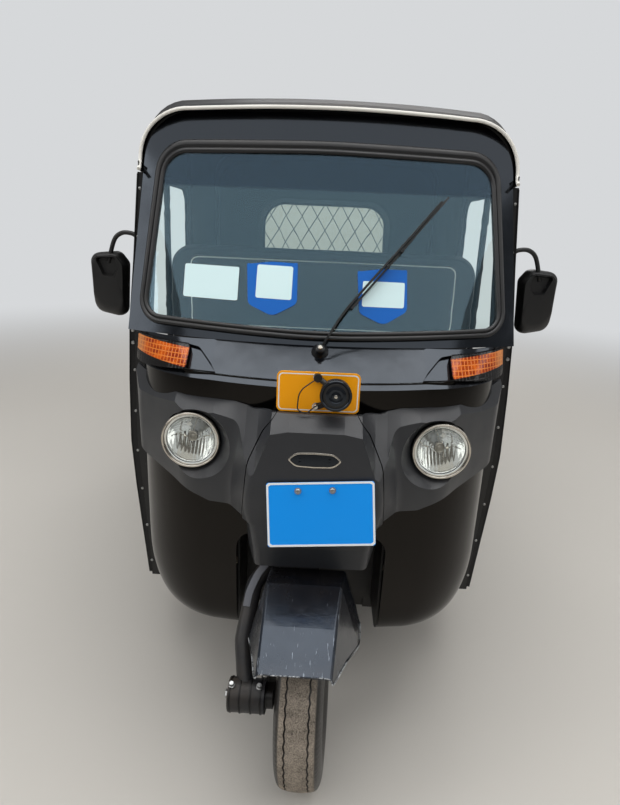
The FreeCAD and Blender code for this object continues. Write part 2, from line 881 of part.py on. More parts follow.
def horn(board):
    # Disc horn on a small arm, in front of the board
    front = horn_board_s - 48.0
    profile = [
        (0.0, horn_radius - 7.0),
        (5.0, horn_radius),
        (22.0, horn_radius),
        (34.0, horn_radius - 16.0),
    ]
    body = spun_along(point(horn_x, front, horn_z), profile)
    foot_x = horn_x - 39.0
    foot_z = horn_z + 27.0
    back = horn_board_s - seat_gap
    arm = rod(point(horn_x - 6.0, front + 30.0, horn_z + 6.0), point(foot_x, back, foot_z), 6.0)
    foot = rod(point(foot_x, back - 10.0, foot_z), point(foot_x, back, foot_z), 9.0)
    # The lead leaves the foot, loops down over the board and ends in the back of the disc
    route = [
        point(foot_x, back - 6.0, foot_z),
        point(-41.0, 2.0, 993.5),
        point(-43.7, -3.0, 952.6),
        point(-24.1, -3.0, 944.6),
        point(-4.2, 0.0, 962.4),
        point(18.0, -6.0, 976.0),
    ]
    lead = bent_tube(route, horn_lead_radius, [34.0, 10.0, 10.0, 16.0])
    return largest(fused([body, arm, foot, lead]).cut(board))


def spun_along(start, profile):
    # A round solid about a lengthwise axis; profile holds (depth, radius)
    points = [start]
    for depth, radius in profile:
        points.append(start.add(FreeCAD.Vector(radius, depth, 0)))
    points.append(start.add(FreeCAD.Vector(0, profile[-1][0], 0)))
    edges = []
    for index in range(len(points)):
        edges.append(Part.makeLine(points[index], points[(index + 1) % len(points)]))
    face = Part.Face(Part.Wire(edges))
    return face.revolve(start, FreeCAD.Vector(0, 1, 0), 360)


# Line of the outer edge of each front door pillar: x and z
pillar_line = [(492.0, 1452.0), (506.0, 1260.0), (521.0, 1050.0), (526.0, 700.0), (494.0, 250.0)]


def pillar_strip(inner, outer, z_low_cut, z_high_cut, s_low, s_high):
    # A strip that follows the pillar's line, between two offsets from its outer edge
    bends = [0.0, 400.0, 700.0, 900.0, 0.0]
    right = [(x + outer, z, bend) for (x, z), bend in zip(pillar_line, bends)]
    left = [(x + inner, z, bend) for (x, z), bend in zip(pillar_line, bends)]
    strip = along(right + left[::-1], s_low, s_high)
    return strip.common(box(300.0, 600.0, s_low - 5.0, s_high + 5.0, z_low_cut, z_high_cut))


def pillar_strips():
    # Flat perforated strips in front of the door posts
    strip = pillar_strip(-32.0, 0.0, 200.0, post_top_z, post_s - 5.0, post_s)
    return both_sides(strip)


def door_posts():
    # Front door posts from the sill to the canopy's front hoop
    post = pillar_strip(-46.0, -6.0, floor_z - floor_sheet - sill_height, post_top_z,
                        post_s, post_s + post_depth)
    return both_sides(largest(post.cut(floor_pan())))


def mirror_housings():
    # Housings on bent stems from the door posts
    housing = along(
        [
            (545.0, 1052.0, 26.0),
            (638.0, 1072.0, 26.0),
            (640.0, 1228.0, 24.0),
            (560.0, 1236.0, 24.0),
            (536.0, 1205.0, 20.0),
        ],
        440.0,
        480.0,
    )
    dish = along(
        [
            (551.0, 1060.0, 20.0),
            (632.0, 1079.0, 20.0),
            (634.0, 1221.0, 18.0),
            (564.0, 1229.0, 18.0),
            (543.0, 1202.0, 14.0),
        ],
        476.0,
        490.0,
    )
    stem = bent_tube(
        [
            point(490.0, 449.0, 1262.0),
            point(515.0, 449.0, 1285.0),
            point(560.0, 452.0, 1285.0),
            point(588.0, 458.0, 1225.0),
        ],
        6.0,
        [16.0, 20.0],
    )
    base = rod(point(484.0, 449.0, 1262.0), point(504.0, 449.0, 1262.0), 12.0)
    whole = fused([housing.cut(dish), stem, base])
    return both_sides(whole.cut(door_posts()))


def mirror_glasses():
    glass = along(
        [
            (552.0, 1061.0, 20.0),
            (631.0, 1080.0, 20.0),
            (633.0, 1220.0, 18.0),
            (565.0, 1228.0, 18.0),
            (544.0, 1201.0, 14.0),
        ],
        476.0,
        479.0,
    )
    return both_sides(glass)


# Canopy by place: s, half width at the eaves, crown height
canopy_stations = [
    (386.0, 478.0, 1603.0),
    (466.0, 496.0, 1627.0),
    (720.0, 548.0, 1676.0),
    (1018.0, 580.0, 1698.0),
    (1492.0, 600.0, 1704.0),
    (2210.0, 600.0, 1676.0),
    (2310.0, 586.0, 1632.0),
]


def canopy_wire(s, half, crown, inset, low_z):
    eave = crown - eave_drop
    crown_z = crown - inset
    shoulder_z = crown_z - roof_camber
    x = half - inset
    low_x = x
    corner = canopy_corner - inset
    top_x = x - corner
    slant = 0.30 * corner
    edges = [
        Part.makeLine(point(low_x, s, low_z), point(-low_x, s, low_z)),
        Part.makeLine(point(-low_x, s, low_z), point(-x, s, eave)),
        Part.Arc(
            point(-x, s, eave),
            point(-top_x - 0.72 * corner, s, shoulder_z - slant),
            point(-top_x, s, shoulder_z),
        ).toShape(),
        Part.Arc(
            point(-top_x, s, shoulder_z), point(0.0, s, crown_z), point(top_x, s, shoulder_z)
        ).toShape(),
        Part.Arc(
            point(top_x, s, shoulder_z),
            point(top_x + 0.72 * corner, s, shoulder_z - slant),
            point(x, s, eave),
        ).toShape(),
        Part.makeLine(point(x, s, eave), point(low_x, s, low_z)),
    ]
    return Part.Wire(edges)


def canopy_solid(inset, front_s, back_s, low_z):
    wires = []
    for index, (s, half, crown) in enumerate(canopy_stations):
        if index == 0:
            s = front_s
        if index == len(canopy_stations) - 1:
            s = back_s
        wires.append(canopy_wire(s, half, crown, inset, low_z))
    return Part.makeLoft(wires, True, True)


def canopy():
    # Fabric roof skin with its sides, cut for the doors and the rear window
    tail = canopy_stations[-1][0]
    nose = canopy_stations[0][0]
    outer = canopy_solid(0.0, nose, tail, canopy_low_z + seat_gap)
    inner = canopy_solid(fabric, nose - 1.0, tail - fabric, canopy_low_z - 30.0)
    doors = across(
        [
            (200.0, 700.0, 0.0),
            (riser_s + 22.0, 700.0, 0.0),
            (riser_s + 6.0, 1425.0, 90.0),
            (200.0, header_z - 5.0, 0.0),
        ],
        -800.0,
        800.0,
    )
    window = along(
        [
            (-window_half, window_low_z, 25.0),
            (window_half, window_low_z, 25.0),
            (window_half, window_high_z, 120.0),
            (-window_half, window_high_z, 120.0),
        ],
        tail - 60.0,
        tail + 60.0,
    )
    return outer.cut(inner).cut(doors).cut(window)


def hoop(station, leg_z):
    # A roof tube just inside the fabric at one station, with legs down to a height
    s, half, crown = station
    inset = fabric + hoop_gap + tube_radius
    x = half - inset
    top = crown - inset
    bend = canopy_corner - inset
    shoulder = top - roof_camber * x / (x - bend)
    route = [
        point(-x, s, leg_z),
        point(-x, s, shoulder),
        point(0.0, s, top),
        point(x, s, shoulder),
        point(x, s, leg_z),
    ]
    return bent_tube(route, tube_radius, [bend, 2400.0, bend])


def canopy_frame():
    # Roof hoops and the lengthwise bars that join them
    front, bow, first, middle, rear = canopy_stations[1:6]
    parts = [
        hoop(front, post_top_z),
        hoop(bow, header_z),
        hoop(first, floor_z),
        hoop(middle, canopy_low_z),
        hoop(rear, canopy_low_z),
    ]
    inset = fabric + hoop_gap + tube_radius
    for near, far in ((front, bow), (bow, first), (first, middle)):
        start = point(near[1] - inset, near[0], header_z)
        end = point(far[1] - inset, far[0], header_z)
        parts.append(rod(start, end, tube_radius - 1.0))
        parts.append(mirrored(parts[-1]))
    for share in (-1.0, 0.0, 1.0):
        for near, far in ((front, bow), (bow, first), (first, middle), (middle, rear)):
            ends = []
            for s, half, crown in (near, far):
                corner = canopy_corner - inset
                x = share * (half - inset - corner)
                drop = inset + (roof_camber if share else 0.0)
                ends.append(point(x, s, crown - drop))
            parts.append(rod(ends[0], ends[1], tube_radius - 3.0))
    return fused(parts)


def rear_window():
    # Clear pane behind the canopy's opening
    tail = canopy_stations[-1][0] - fabric
    grow = 20.0
    pane = along(
        [
            (-window_half - grow, window_low_z - grow, 30.0),
            (window_half + grow, window_low_z - grow, 30.0),
            (window_half + grow, window_high_z + grow, 130.0),
            (-window_half - grow, window_high_z + grow, 130.0),
        ],
        tail - 3.0 - seat_gap,
        tail - seat_gap,
    )
    return pane


def rear_guard():
    # Diamond wire guard in a frame, inside the rear window
    tail = canopy_stations[-1][0] - fabric - 3.0 - 2.0 * seat_gap
    outline = [
        (-window_half, window_low_z, 25.0),
        (window_half, window_low_z, 25.0),
        (window_half, window_high_z, 120.0),
        (-window_half, window_high_z, 120.0),
    ]
    inside = [
        (-window_half + 12.0, window_low_z + 12.0, 20.0),
        (window_half - 12.0, window_low_z + 12.0, 20.0),
        (window_half - 12.0, window_high_z - 12.0, 108.0),
        (-window_half + 12.0, window_high_z - 12.0, 108.0),
    ]
    ring = along(outline, tail - 6.0, tail).cut(along(inside, tail - 20.0, tail + 10.0))
    reach = along(outline, tail - 10.0, tail + 10.0)
    parts = [ring]
    pitch = 85.0
    count = 8
    height = window_high_z - window_low_z
    centre_z = (window_high_z + window_low_z) / 2.0
    for index in range(-count, count + 1):
        x = index * pitch
        for lean in (-1.0, 1.0):
            start = point(x - lean * height * 0.30, tail - 3.0, window_low_z)
            end = point(x + lean * height * 0.30, tail - 3.0, window_high_z)
            wire = rod(start, end, 2.0).common(reach)
            if wire.Volume > 1.0:
                parts.append(wire)
    return fused(parts)


def partition():
    # Panel behind the driver with its top bar
    leg_x = canopy_stations[3][1] - fabric - hoop_gap - tube_radius
    half = leg_x - tube_radius - 2.0 * seat_gap - 14.0
    sheet = along(
        [
            (-half, floor_z, 0.0),
            (half, floor_z, 0.0),
            (half, partition_top_z, 60.0),
            (-half, partition_top_z, 60.0),
        ],
        partition_s,
        partition_s + 4.0,
    )
    bar = bent_tube(
        [
            point(-half - 4.0, partition_s + 13.0, floor_z),
            point(-half - 4.0, partition_s + 13.0, partition_top_z + 8.0),
            point(half + 4.0, partition_s + 13.0, partition_top_z + 8.0),
            point(half + 4.0, partition_s + 13.0, floor_z),
        ],
        10.0,
        [70.0, 70.0],
    )
    return fused([sheet, bar])


def driver_seat_box():
    half = driver_seat_half
    return across(
        [
            (driver_box_front_s + 30.0, floor_z, 0.0),
            (partition_s, floor_z, 0.0),
            (partition_s, driver_box_top_z, 0.0),
            (driver_box_front_s, driver_box_top_z, 15.0),
        ],
        -half,
        half,
    )


def cushion(x_half, s_low, s_high, z_low, z_high, radius):
    solid = box(-x_half, x_half, s_low, s_high, z_low, z_high)
    return solid.makeFillet(radius, solid.Edges)


def driver_seat():
    return cushion(
        driver_seat_half - 5.0,
        driver_box_front_s + 2.0,
        partition_s - 45.0,
        driver_box_top_z + seat_gap,
        driver_box_top_z + driver_cushion,
        28.0,
    )


def driver_backrest():
    # Wide pad across the partition
    return cushion(
        pad_half,
        partition_s - pad_depth,
        partition_s - seat_gap,
        pad_low_z,
        partition_top_z - 8.0,
        20.0,
    )


def passenger_seat_base():
    # Riser board and seat board of the bench
    half = floor_rear_x
    board = across(
        [
            (riser_s, floor_z - floor_sheet, 0.0),
            (riser_s + panel, floor_z - floor_sheet, 0.0),
            (riser_s + panel, bench_top_z - 6.0, 0.0),
            (bulkhead_s + 6.0, bench_top_z - 6.0, 0.0),
            (bulkhead_s + 6.0, bench_top_z, 0.0),
            (riser_s, bench_top_z, 8.0),
        ],
        -half,
        half,
    )
    return board


def passenger_cushion():
    return cushion(
        bench_half - 4.0,
        bench_front_s,
        backrest_s - 2.0,
        bench_top_z + seat_gap,
        bench_top_z + bench_cushion,
        34.0,
    )


def passenger_backrest():
    return cushion(
        bench_half - 8.0,
        backrest_s,
        bulkhead_s - seat_gap,
        bench_top_z + 96.0,
        backrest_top_z,
        36.0,
    )


def luggage_tray():
    # Board behind the backrest and the shelf over the engine
    half = quarter_x - panel - seat_gap
    board = box(-half, half, bulkhead_s, bulkhead_s + 6.0, bench_top_z, backrest_top_z - 30.0)
    tail = quarter_s - panel - seat_gap
    shelf = upright(
        [
            (-half, bulkhead_s, 0.0),
            (half, bulkhead_s, 0.0),
            (half, tail, quarter_corner),
            (-half, tail, quarter_corner),
        ],
        shelf_z,
        shelf_z + 6.0,
    )
    board = board.cut(box(-700, -half + 24.0, 0.0, 3000.0, canopy_low_z - 2.0, 1300.0))
    board = board.cut(box(half - 24.0, 700, 0.0, 3000.0, canopy_low_z - 2.0, 1300.0))
    return fused([board, shelf])


def rear_quarters():
    # Side panels that wrap the tail corners, with flared wheel arches
    inner = quarter_x - panel
    top = canopy_low_z
    low = floor_z - floor_sheet - sill_height
    skin = upright(
        [
            (quarter_x, riser_s + 6.0, 0.0),
            (quarter_x, quarter_s, quarter_corner),
            (door_half + door_gap, quarter_s, 0.0),
            (door_half + door_gap, quarter_s - panel, 0.0),
            (inner, quarter_s - panel, quarter_corner - panel),
            (inner, riser_s + 6.0, 0.0),
        ],
        low,
        top,
    )
    arch = cross_rod(200.0, 800.0, wheelbase, wheel_z, arch_radius)
    tail_cut = box(200.0, 800.0, wheelbase, 2500.0, 100.0, door_low_z)
    skin = skin.cut(arch).cut(tail_cut)
    rim = arch_radius + flare_width
    edge = overall_width / 2.0
    flare = spun(
        [
            (quarter_x - panel, arch_radius, 0.0),
            (edge, arch_radius, 4.0),
            (edge, rim - 14.0, 14.0),
            (quarter_x - panel, rim + 6.0, 0.0),
        ],
        0.0,
        wheelbase,
        wheel_z,
    )
    core = spun(
        [
            (quarter_x - panel - 1.0, arch_radius - 2.0, 0.0),
            (edge - panel, arch_radius - 2.0, 0.0),
            (edge - panel, rim - 18.0, 10.0),
            (quarter_x - panel - 1.0, rim - 1.0, 0.0),
        ],
        0.0,
        wheelbase,
        wheel_z,
    )
    above = box(500.0, 700.0, 1500.0, 2400.0, low + 4.0, 800.0)
    flare = flare.cut(core).common(above)
    return both_sides(fused([skin, flare]))


def wheel_housings():
    # Inner arches over the rear wheels
    inner_x = 460.0
    ring = cross_rod(inner_x, quarter_x - panel, wheelbase, wheel_z, housing_radius + panel)
    ring = ring.cut(cross_rod(inner_x, quarter_x, wheelbase, wheel_z, housing_radius))
    wall = cross_rod(inner_x - panel, inner_x, wheelbase, wheel_z, housing_radius + panel)
    house = fused([ring, wall]).common(box(300.0, 700.0, 1400.0, 2600.0, floor_z, 700.0))
    return both_sides(house)


def tail_panel():
    # Fixed panel over the engine cover, with four holes for a plate
    sheet = box(
        -door_half - door_gap, door_half + door_gap, quarter_s - panel, quarter_s,
        door_high_z + door_gap, canopy_low_z)
    for x in (-plate_holes_x / 2.0, plate_holes_x / 2.0):
        for z in (plate_holes_z, plate_holes_z + plate_holes_rise):
            hole = rod(point(x, quarter_s - 40.0, z), point(x, quarter_s + 40.0, z), plate_hole)
            sheet = sheet.cut(hole)
    parts = [sheet]
    s = quarter_s + hinge_stand
    z = door_high_z + door_gap / 2.0
    for x in hinge_places:
        parts.append(cross_rod(x - 40.0, x + 40.0, s, z, hinge_pin))
        for low in (x - 40.0, x + 20.0 + seat_gap):
            high = low + 20.0 - seat_gap
            parts.append(cross_rod(low, high, s, z, hinge_radius))
            parts.append(box(low, high, quarter_s, s, z + 3.0, z + 26.0).cut(
                box(low - 1.0, high + 1.0, quarter_s + 2.5, s + 1.0, z + 7.0, z + 40.0)))
    return fused(parts)


def engine_cover():
    # Louvred lid over the engine, hinged along its top edge
    lid = along(
        [
            (-door_half, door_low_z, 18.0),
            (door_half, door_low_z, 18.0),
            (door_half, door_high_z, 8.0),
            (-door_half, door_high_z, 8.0),
        ],
        quarter_s - panel,
        quarter_s,
    )
    slots = []
    ribs = []
    for row in range(6):
        z = 360.0 + row * 36.0
        for x in (-150.0, 150.0):
            slots.append(box(x - 95.0, x + 95.0, quarter_s - 20.0, quarter_s + 2.0, z, z + 9.0))
            ribs.append(
                across(
                    [
                        (quarter_s - 1.0, z + 9.0, 0.0),
                        (quarter_s - 1.0, z + 20.0, 0.0),
                        (quarter_s + 8.0, z + 2.0, 0.0),
                        (quarter_s + 8.0, z, 0.0),
                        (quarter_s + 6.5, z, 0.0),
                    ],
                    x - 97.0,
                    x + 97.0,
                )
            )
    for slot in slots:
        lid = lid.cut(slot)
    handle = box(-30.0, 30.0, quarter_s, quarter_s + 8.0, door_low_z + 14.0, door_low_z + 26.0)
    parts = [lid, handle] + ribs
    s = quarter_s + hinge_stand
    z = door_high_z + door_gap / 2.0
    pins = []
    for x in hinge_places:
        low = x - 20.0 + seat_gap
        high = x + 20.0 - seat_gap
        parts.append(cross_rod(low, high, s, z, hinge_radius))
        parts.append(box(low, high, quarter_s, s, z - 26.0, z - 3.0).cut(
            box(low - 1.0, high + 1.0, quarter_s + 2.5, s + 1.0, z - 40.0, z - 7.0)))
        pins.append(cross_rod(x - 50.0, x + 50.0, s, z, hinge_pin + bearing_gap))
    return fused(parts).cut(pins[0]).cut(pins[1])


def tail_lamps():
    lamp = along(
        [
            (440.0, 640.0, 16.0),
            (520.0, 640.0, 16.0),
            (520.0, 840.0, 16.0),
            (440.0, 840.0, 16.0),
        ],
        quarter_s,
        quarter_s + 20.0,
    )
    return both_sides(lamp)


def rear_bumper():
    # Low tubular bumper on two brackets from the subframe
    z = floor_z - floor_sheet - rail_height / 2.0
    radius = 15.0
    s = tail_s - radius
    tube = bent_tube(
        [
            point(-540.0, s - 110.0, z),
            point(-520.0, s, z),
            point(520.0, s, z),
            point(540.0, s - 110.0, z),
        ],
        radius,
        [60.0, 60.0],
    )
    half = 14.0
    parts = [tube]
    for side in (-1, 1):
        x = side * rear_rail_x
        parts.append(box(x - half, x + half, 2340.0, s, z - half + 4.0, z + half - 4.0))
    return fused(parts)


def engine():
    # Engine and gearbox as one plain block with the differential in front
    block = box(-210.0, 210.0, bulkhead_s + 14.0, 2336.0, floor_z - floor_sheet, 632.0)
    block = block.makeFillet(20.0, block.Edges)
    gear = box(-150.0, 150.0, 1895.0, bulkhead_s + 60.0, 236.0, 500.0)
    gear = gear.makeFillet(18.0, gear.Edges)
    return fused([block, gear])


def rear_arms():
    # Trailing arms with their pivots, hub carriers, brake plates and stub axles
    low = floor_z - floor_sheet - rail_height
    pivot_s = 1580.0
    hub_x = rear_track / 2.0 - rim_width / 2.0 - 18.0
    arm = bent_tube(
        [
            point(rear_rail_x + 48.0, pivot_s, low + 18.0),
            point(rear_rail_x + 66.0, 1760.0, low + 6.0),
            point(hub_x - 50.0, wheelbase, wheel_z),
        ],
        17.0,
        [120.0],
    )
    pivot = cross_rod(rear_rail_x + rail_width / 2.0, rear_rail_x + 74.0, pivot_s, low + 18.0, 20.0)
    carrier = cross_rod(hub_x - 78.0, hub_x - 2.0, wheelbase, wheel_z, 40.0)
    plate = cross_rod(hub_x - 6.0, hub_x - 0.5, wheelbase, wheel_z, drum_radius)
    axle = cross_rod(hub_x - 2.0, rear_track / 2.0 + 30.0, wheelbase, wheel_z, stub_radius)
    return both_sides(fused([arm, pivot, carrier, plate, axle]))


def damper(low, high, coil_radius, core_radius, turns):
    # Spring and damper as a stack of rings round a core between two eyes
    axis = high.sub(low)
    length = axis.Length
    unit = FreeCAD.Vector(axis).normalize()
    parts = [rod(low, high, core_radius)]
    for index in range(turns):
        start = low.add(FreeCAD.Vector(unit).multiply(length * (0.14 + 0.72 * index / turns)))
        parts.append(Part.makeCylinder(coil_radius, length * 0.72 / turns * 0.55, start, unit))
    return fused(parts)


def rear_dampers():
    low = point(424.0, 1900.0, 262.0)
    high = point(424.0, 1925.0, bench_top_z - 6.0)
    unit = damper(low, high, 27.0, 15.0, 7)
    unit = unit.cut(rear_arms()).cut(box(300.0, 600.0, 1800.0, 2100.0, bench_top_z - 6.0, 700.0))
    return both_sides(largest(unit))


def largest(shape):
    return sorted(shape.Solids, key=lambda solid: solid.Volume)[-1]


def drive_shafts():
    # Half shafts with boots from the differential to the hub carriers
    hub_x = rear_track / 2.0 - rim_width / 2.0 - 18.0 - 78.0
    inner = point(150.0, wheelbase, 268.0)
    outer = point(hub_x, wheelbase, wheel_z)
    shaft = rod(inner, outer, 11.0)
    boot_inner = Part.makeCone(38.0, 18.0, 60.0, inner, outer.sub(inner))
    boot_outer = Part.makeCone(34.0, 18.0, 50.0, outer, inner.sub(outer))
    whole = fused([shaft, boot_inner, boot_outer])
    whole = whole.cut(rear_arms()).cut(engine())
    return both_sides(whole)


def silencer():
    # Drum below the engine with its tail pipe
    s = 2190.0
    z = 234.0
    drum = cross_rod(-170.0, 190.0, s, z, 46.0)
    drum = drum.makeFillet(10.0, drum.Edges)
    pipe = bent_tube(
        [
            point(-150.0, s, z),
            point(-250.0, s, z),
            point(-250.0, 2372.0, z - 20.0),
        ],
        14.0,
        [50.0],
    )
    strap = box(-20.0, 20.0, s - 25.0, s + 25.0, z + 30.0, floor_z - floor_sheet)
    return fused([drum, pipe, strap])


def dashboard():
    # Shelf behind the nose with a round instrument
    inner = apron_hollow(panel + seat_gap)
    block = across(
        [
            (60.0, 800.0, 0.0),
            (215.0, 800.0, 20.0),
            (238.0, 890.0, 20.0),
            (200.0, 968.0, 20.0),
            (60.0, 985.0, 0.0),
        ],
        -372.0,
        372.0,
    )
    shelf = block.common(inner)
    trays = []
    for side in (-1, 1):
        trays.append(box(side * 250.0 - 90.0, side * 250.0 + 90.0, 190.0, 260.0, 830.0, 900.0))
    for side, tray in zip((-1, 1), trays):
        shelf = shelf.cut(tray).cut(lamp_rod(side, 0.0, lamp_depth + 6.0, bowl_radius + 6.0))
    return shelf


def pedals():
    # Brake pedal and parking brake lever
    foot = box(-190.0, -130.0, 446.0, 486.0, floor_z + 5.0, floor_z + 17.0)
    arm = rod(point(-160.0, 466.0, floor_z + 12.0), point(-160.0, 462.0, 392.0), 7.0)
    pad = box(-192.0, -128.0, 446.0, 460.0, 366.0, 416.0)
    base = box(140.0, 180.0, 640.0, 700.0, floor_z + 5.0, floor_z + 40.0)
    lever = rod(point(160.0, 680.0, floor_z + 30.0), point(160.0, 600.0, 430.0), 8.0)
    grip = rod(point(160.0, 618.0, 404.0), point(160.0, 583.0, 458.0), 13.0)
    brake = fused([foot, arm, pad]).cut(floor_pan())
    hand = fused([base, lever, grip]).cut(floor_pan())
    foot_low = box(-190.0, -130.0, 446.0, 486.0, floor_z, floor_z + 17.0)
    base_low = box(140.0, 180.0, 640.0, 700.0, floor_z, floor_z + 40.0)
    brake = fused([brake, foot_low.cut(floor_pan())])
    hand = fused([hand, base_low.cut(floor_pan())])
    return Part.makeCompound([brake, hand])


def rim(x_centre, s, z, face):
    # Pressed wheel: barrel with two flanges, dished disc with holes, brake drum inside
    half = rim_width / 2.0
    flange = rim_radius + rim_flange
    barrel = spun(
        [
            (-half - rim_wall, flange, 0.0),
            (-half - rim_wall, rim_radius - rim_wall, 0.0),
            (half + rim_wall, rim_radius - rim_wall, 0.0),
            (half + rim_wall, flange, 0.0),
            (half, flange, 0.0),
            (half, rim_radius, 0.0),
            (-half, rim_radius, 0.0),
            (-half, flange, 0.0),
        ],
        x_centre, s, z,
    )
    disc_low = face * 14.0
    disc = cross_rod(
        x_centre + min(disc_low, disc_low + face * 6.0),
        x_centre + max(disc_low, disc_low + face * 6.0),
        s, z, rim_radius - rim_wall + 1.0)
    drum_back = -face * (half + 2.0)
    drum = cross_rod(
        x_centre + min(drum_back, disc_low), x_centre + max(drum_back, disc_low),
        s, z, drum_radius)
    hub = cross_rod(
        x_centre + min(disc_low, face * 34.0), x_centre + max(disc_low, face * 34.0),
        s, z, hub_radius)
    whole = fused([barrel, disc, drum, hub])
    whole = whole.cut(cross_rod(x_centre - 200.0, x_centre + 200.0, s, z,
                                stub_radius + bearing_gap))
    hollow_low = -face * (half + 3.0)
    hollow_high = -face * 12.0
    hollow = cross_rod(
        x_centre + min(hollow_low, hollow_high), x_centre + max(hollow_low, hollow_high),
        s, z, drum_radius - 8.0)
    core = cross_rod(
        x_centre + min(hollow_low, hollow_high), x_centre + max(hollow_low, hollow_high),
        s, z, hub_radius)
    whole = whole.cut(hollow.cut(core))
    nuts = []
    for index in range(4):
        angle = math.radians(45.0 + 90.0 * index)
        nut_s = s + 55.0 * math.cos(angle)
        nut_z = z + 55.0 * math.sin(angle)
        low = face * 18.0
        high = face * 30.0
        nuts.append(cross_rod(x_centre + min(low, high), x_centre + max(low, high),
                              nut_s, nut_z, 10.0))
    return fused([whole] + nuts)


def tyre(x_centre, s, z):
    # Round shouldered tyre; the tread pattern is left to the surface
    half = tyre_width / 2.0
    bead = rim_width / 2.0 - seat_gap
    bore = rim_radius + seat_gap
    shoulder = tread_width / 2.0
    height = tyre_radius - bore
    places = [
        (-bead, bore),
        (-bead, bore + 0.15 * height),
        (-half, bore + 0.48 * height),
        (-shoulder, bore + 0.94 * height),
        (0.0, tyre_radius),
        (shoulder, bore + 0.94 * height),
        (half, bore + 0.48 * height),
        (bead, bore + 0.15 * height),
        (bead, bore),
    ]
    edges = []
    for index, (x, radius) in enumerate(places):
        next_x, next_radius = places[(index + 1) % len(places)]
        start = point(x_centre + x, s, z + radius)
        end = point(x_centre + next_x, s, z + next_radius)
        edges.append(Part.makeLine(start, end))
    face = Part.Face(Part.Wire(edges))
    return face.revolve(point(0, s, z), FreeCAD.Vector(1, 0, 0), 360)


# Mudguard by place: s, top z, half width of the top, low edge z, half width of the low edge
guard_stations = [
    (-250.0, 478.0, 77.0, 466.0, 79.0),
    (-150.0, 517.0, 81.0, 436.0, 102.0),
    (-45.0, 552.0, 86.0, 400.0, 129.0),
    (60.0, 528.0, 90.0, 384.0, 132.0),
    (150.0, 472.0, 92.0, 392.0, 116.0),
]
guard_wall = 4.0


def guard_solid(inset):
    wires = []
    for s, top, half, low, low_half in guard_stations:
        floor = low - 30.0 if inset > 0.0 else low
        spread = (low_half - half) / max(top - low, 1.0)
        low_x = low_half + spread * (low - floor)
        if inset > 0.0 and s == guard_stations[0][0]:
            s = s - 2.0
        if inset > 0.0 and s == guard_stations[-1][0]:
            s = s + 2.0
        corners = [
            (-low_x + inset, floor, 0.0),
            (low_x - inset, floor, 0.0),
            (half - inset, top - inset, 9.0 - inset),
            (-half + inset, top - inset, 9.0 - inset),
        ]
        wires.append(rounded_wire(corners, lambda x, z, s=s: point(x, s, z)))
    return Part.makeLoft(wires, True, True)


def front_mudguard():
    # Boxy guard with flared skirts that turns with the fork
    guard = guard_solid(0.0).cut(guard_solid(guard_wall))
    return guard


leg_x = -146.0
pivot_s = -100.0
pivot_z = 286.0
pivot_radius = 38.0


def fork():
    # Steering column, crown and the single bent leg to the link's pivot
    column = steering_rod(560.0, 985.0, column_radius)
    crown = steering_rod(552.0, 596.0, column_radius + 8.0)
    start = steering_point(572.0)
    leg = bent_tube(
        [
            start,
            point(-60.0, 135.0, 560.0),
            point(-132.0, 58.0, 478.0),
            point(leg_x, -28.0, 380.0),
            point(-126.0, pivot_s, pivot_z + 8.0),
        ],
        20.0,
        [30.0, 60.0, 60.0],
    )
    housing = cross_rod(-165.0, -80.0, pivot_s, pivot_z, pivot_radius)
    lug = rod(point(-130.0, 66.0, 480.0), point(-104.0, 128.0, 470.0), 12.0)
    bracket = across(
        [
            (60.0, 480.0, 0.0),
            (120.0, 480.0, 0.0),
            (165.0, 566.0, 0.0),
            (135.0, 575.0, 0.0),
        ],
        -26.0,
        26.0,
    )
    bracket = bracket.cut(guard_solid(0.0))
    bracket = largest(bracket)
    whole = fused([column, crown, leg, housing, lug, bracket])
    return whole.cut(guard_solid(-seat_gap))


def trailing_link():
    # Arm from the pivot to the axle, with the brake plate and the stub axle
    arm = across(
        [
            (pivot_s - 24.0, pivot_z - 20.0, 20.0),
            (pivot_s + 18.0, pivot_z - 30.0, 10.0),
            (34.0, wheel_z - 34.0, 26.0),
            (44.0, wheel_z + 28.0, 22.0),
            (pivot_s + 20.0, pivot_z + 24.0, 18.0),
            (pivot_s - 22.0, pivot_z + 24.0, 16.0),
        ],
        -79.7,
        -62.0,
    )
    plate = cross_rod(-62.0, -rim_width / 2.0 - 2.5, 0.0, wheel_z, drum_radius)
    axle = cross_rod(-64.0, 32.0, 0.0, wheel_z, stub_radius)
    eye = cross_rod(-112.0, -62.0, 34.0, wheel_z + 6.0, 13.0)
    return fused([arm, plate, axle, eye])


def front_damper():
    low = point(-100.0, 38.0, wheel_z + 16.0)
    high = point(-104.0, 128.0, 459.0)
    unit = damper(low, high, 22.0, 12.0, 8)
    unit = unit.cut(fork()).cut(trailing_link()).cut(guard_solid(-seat_gap))
    return largest(unit)


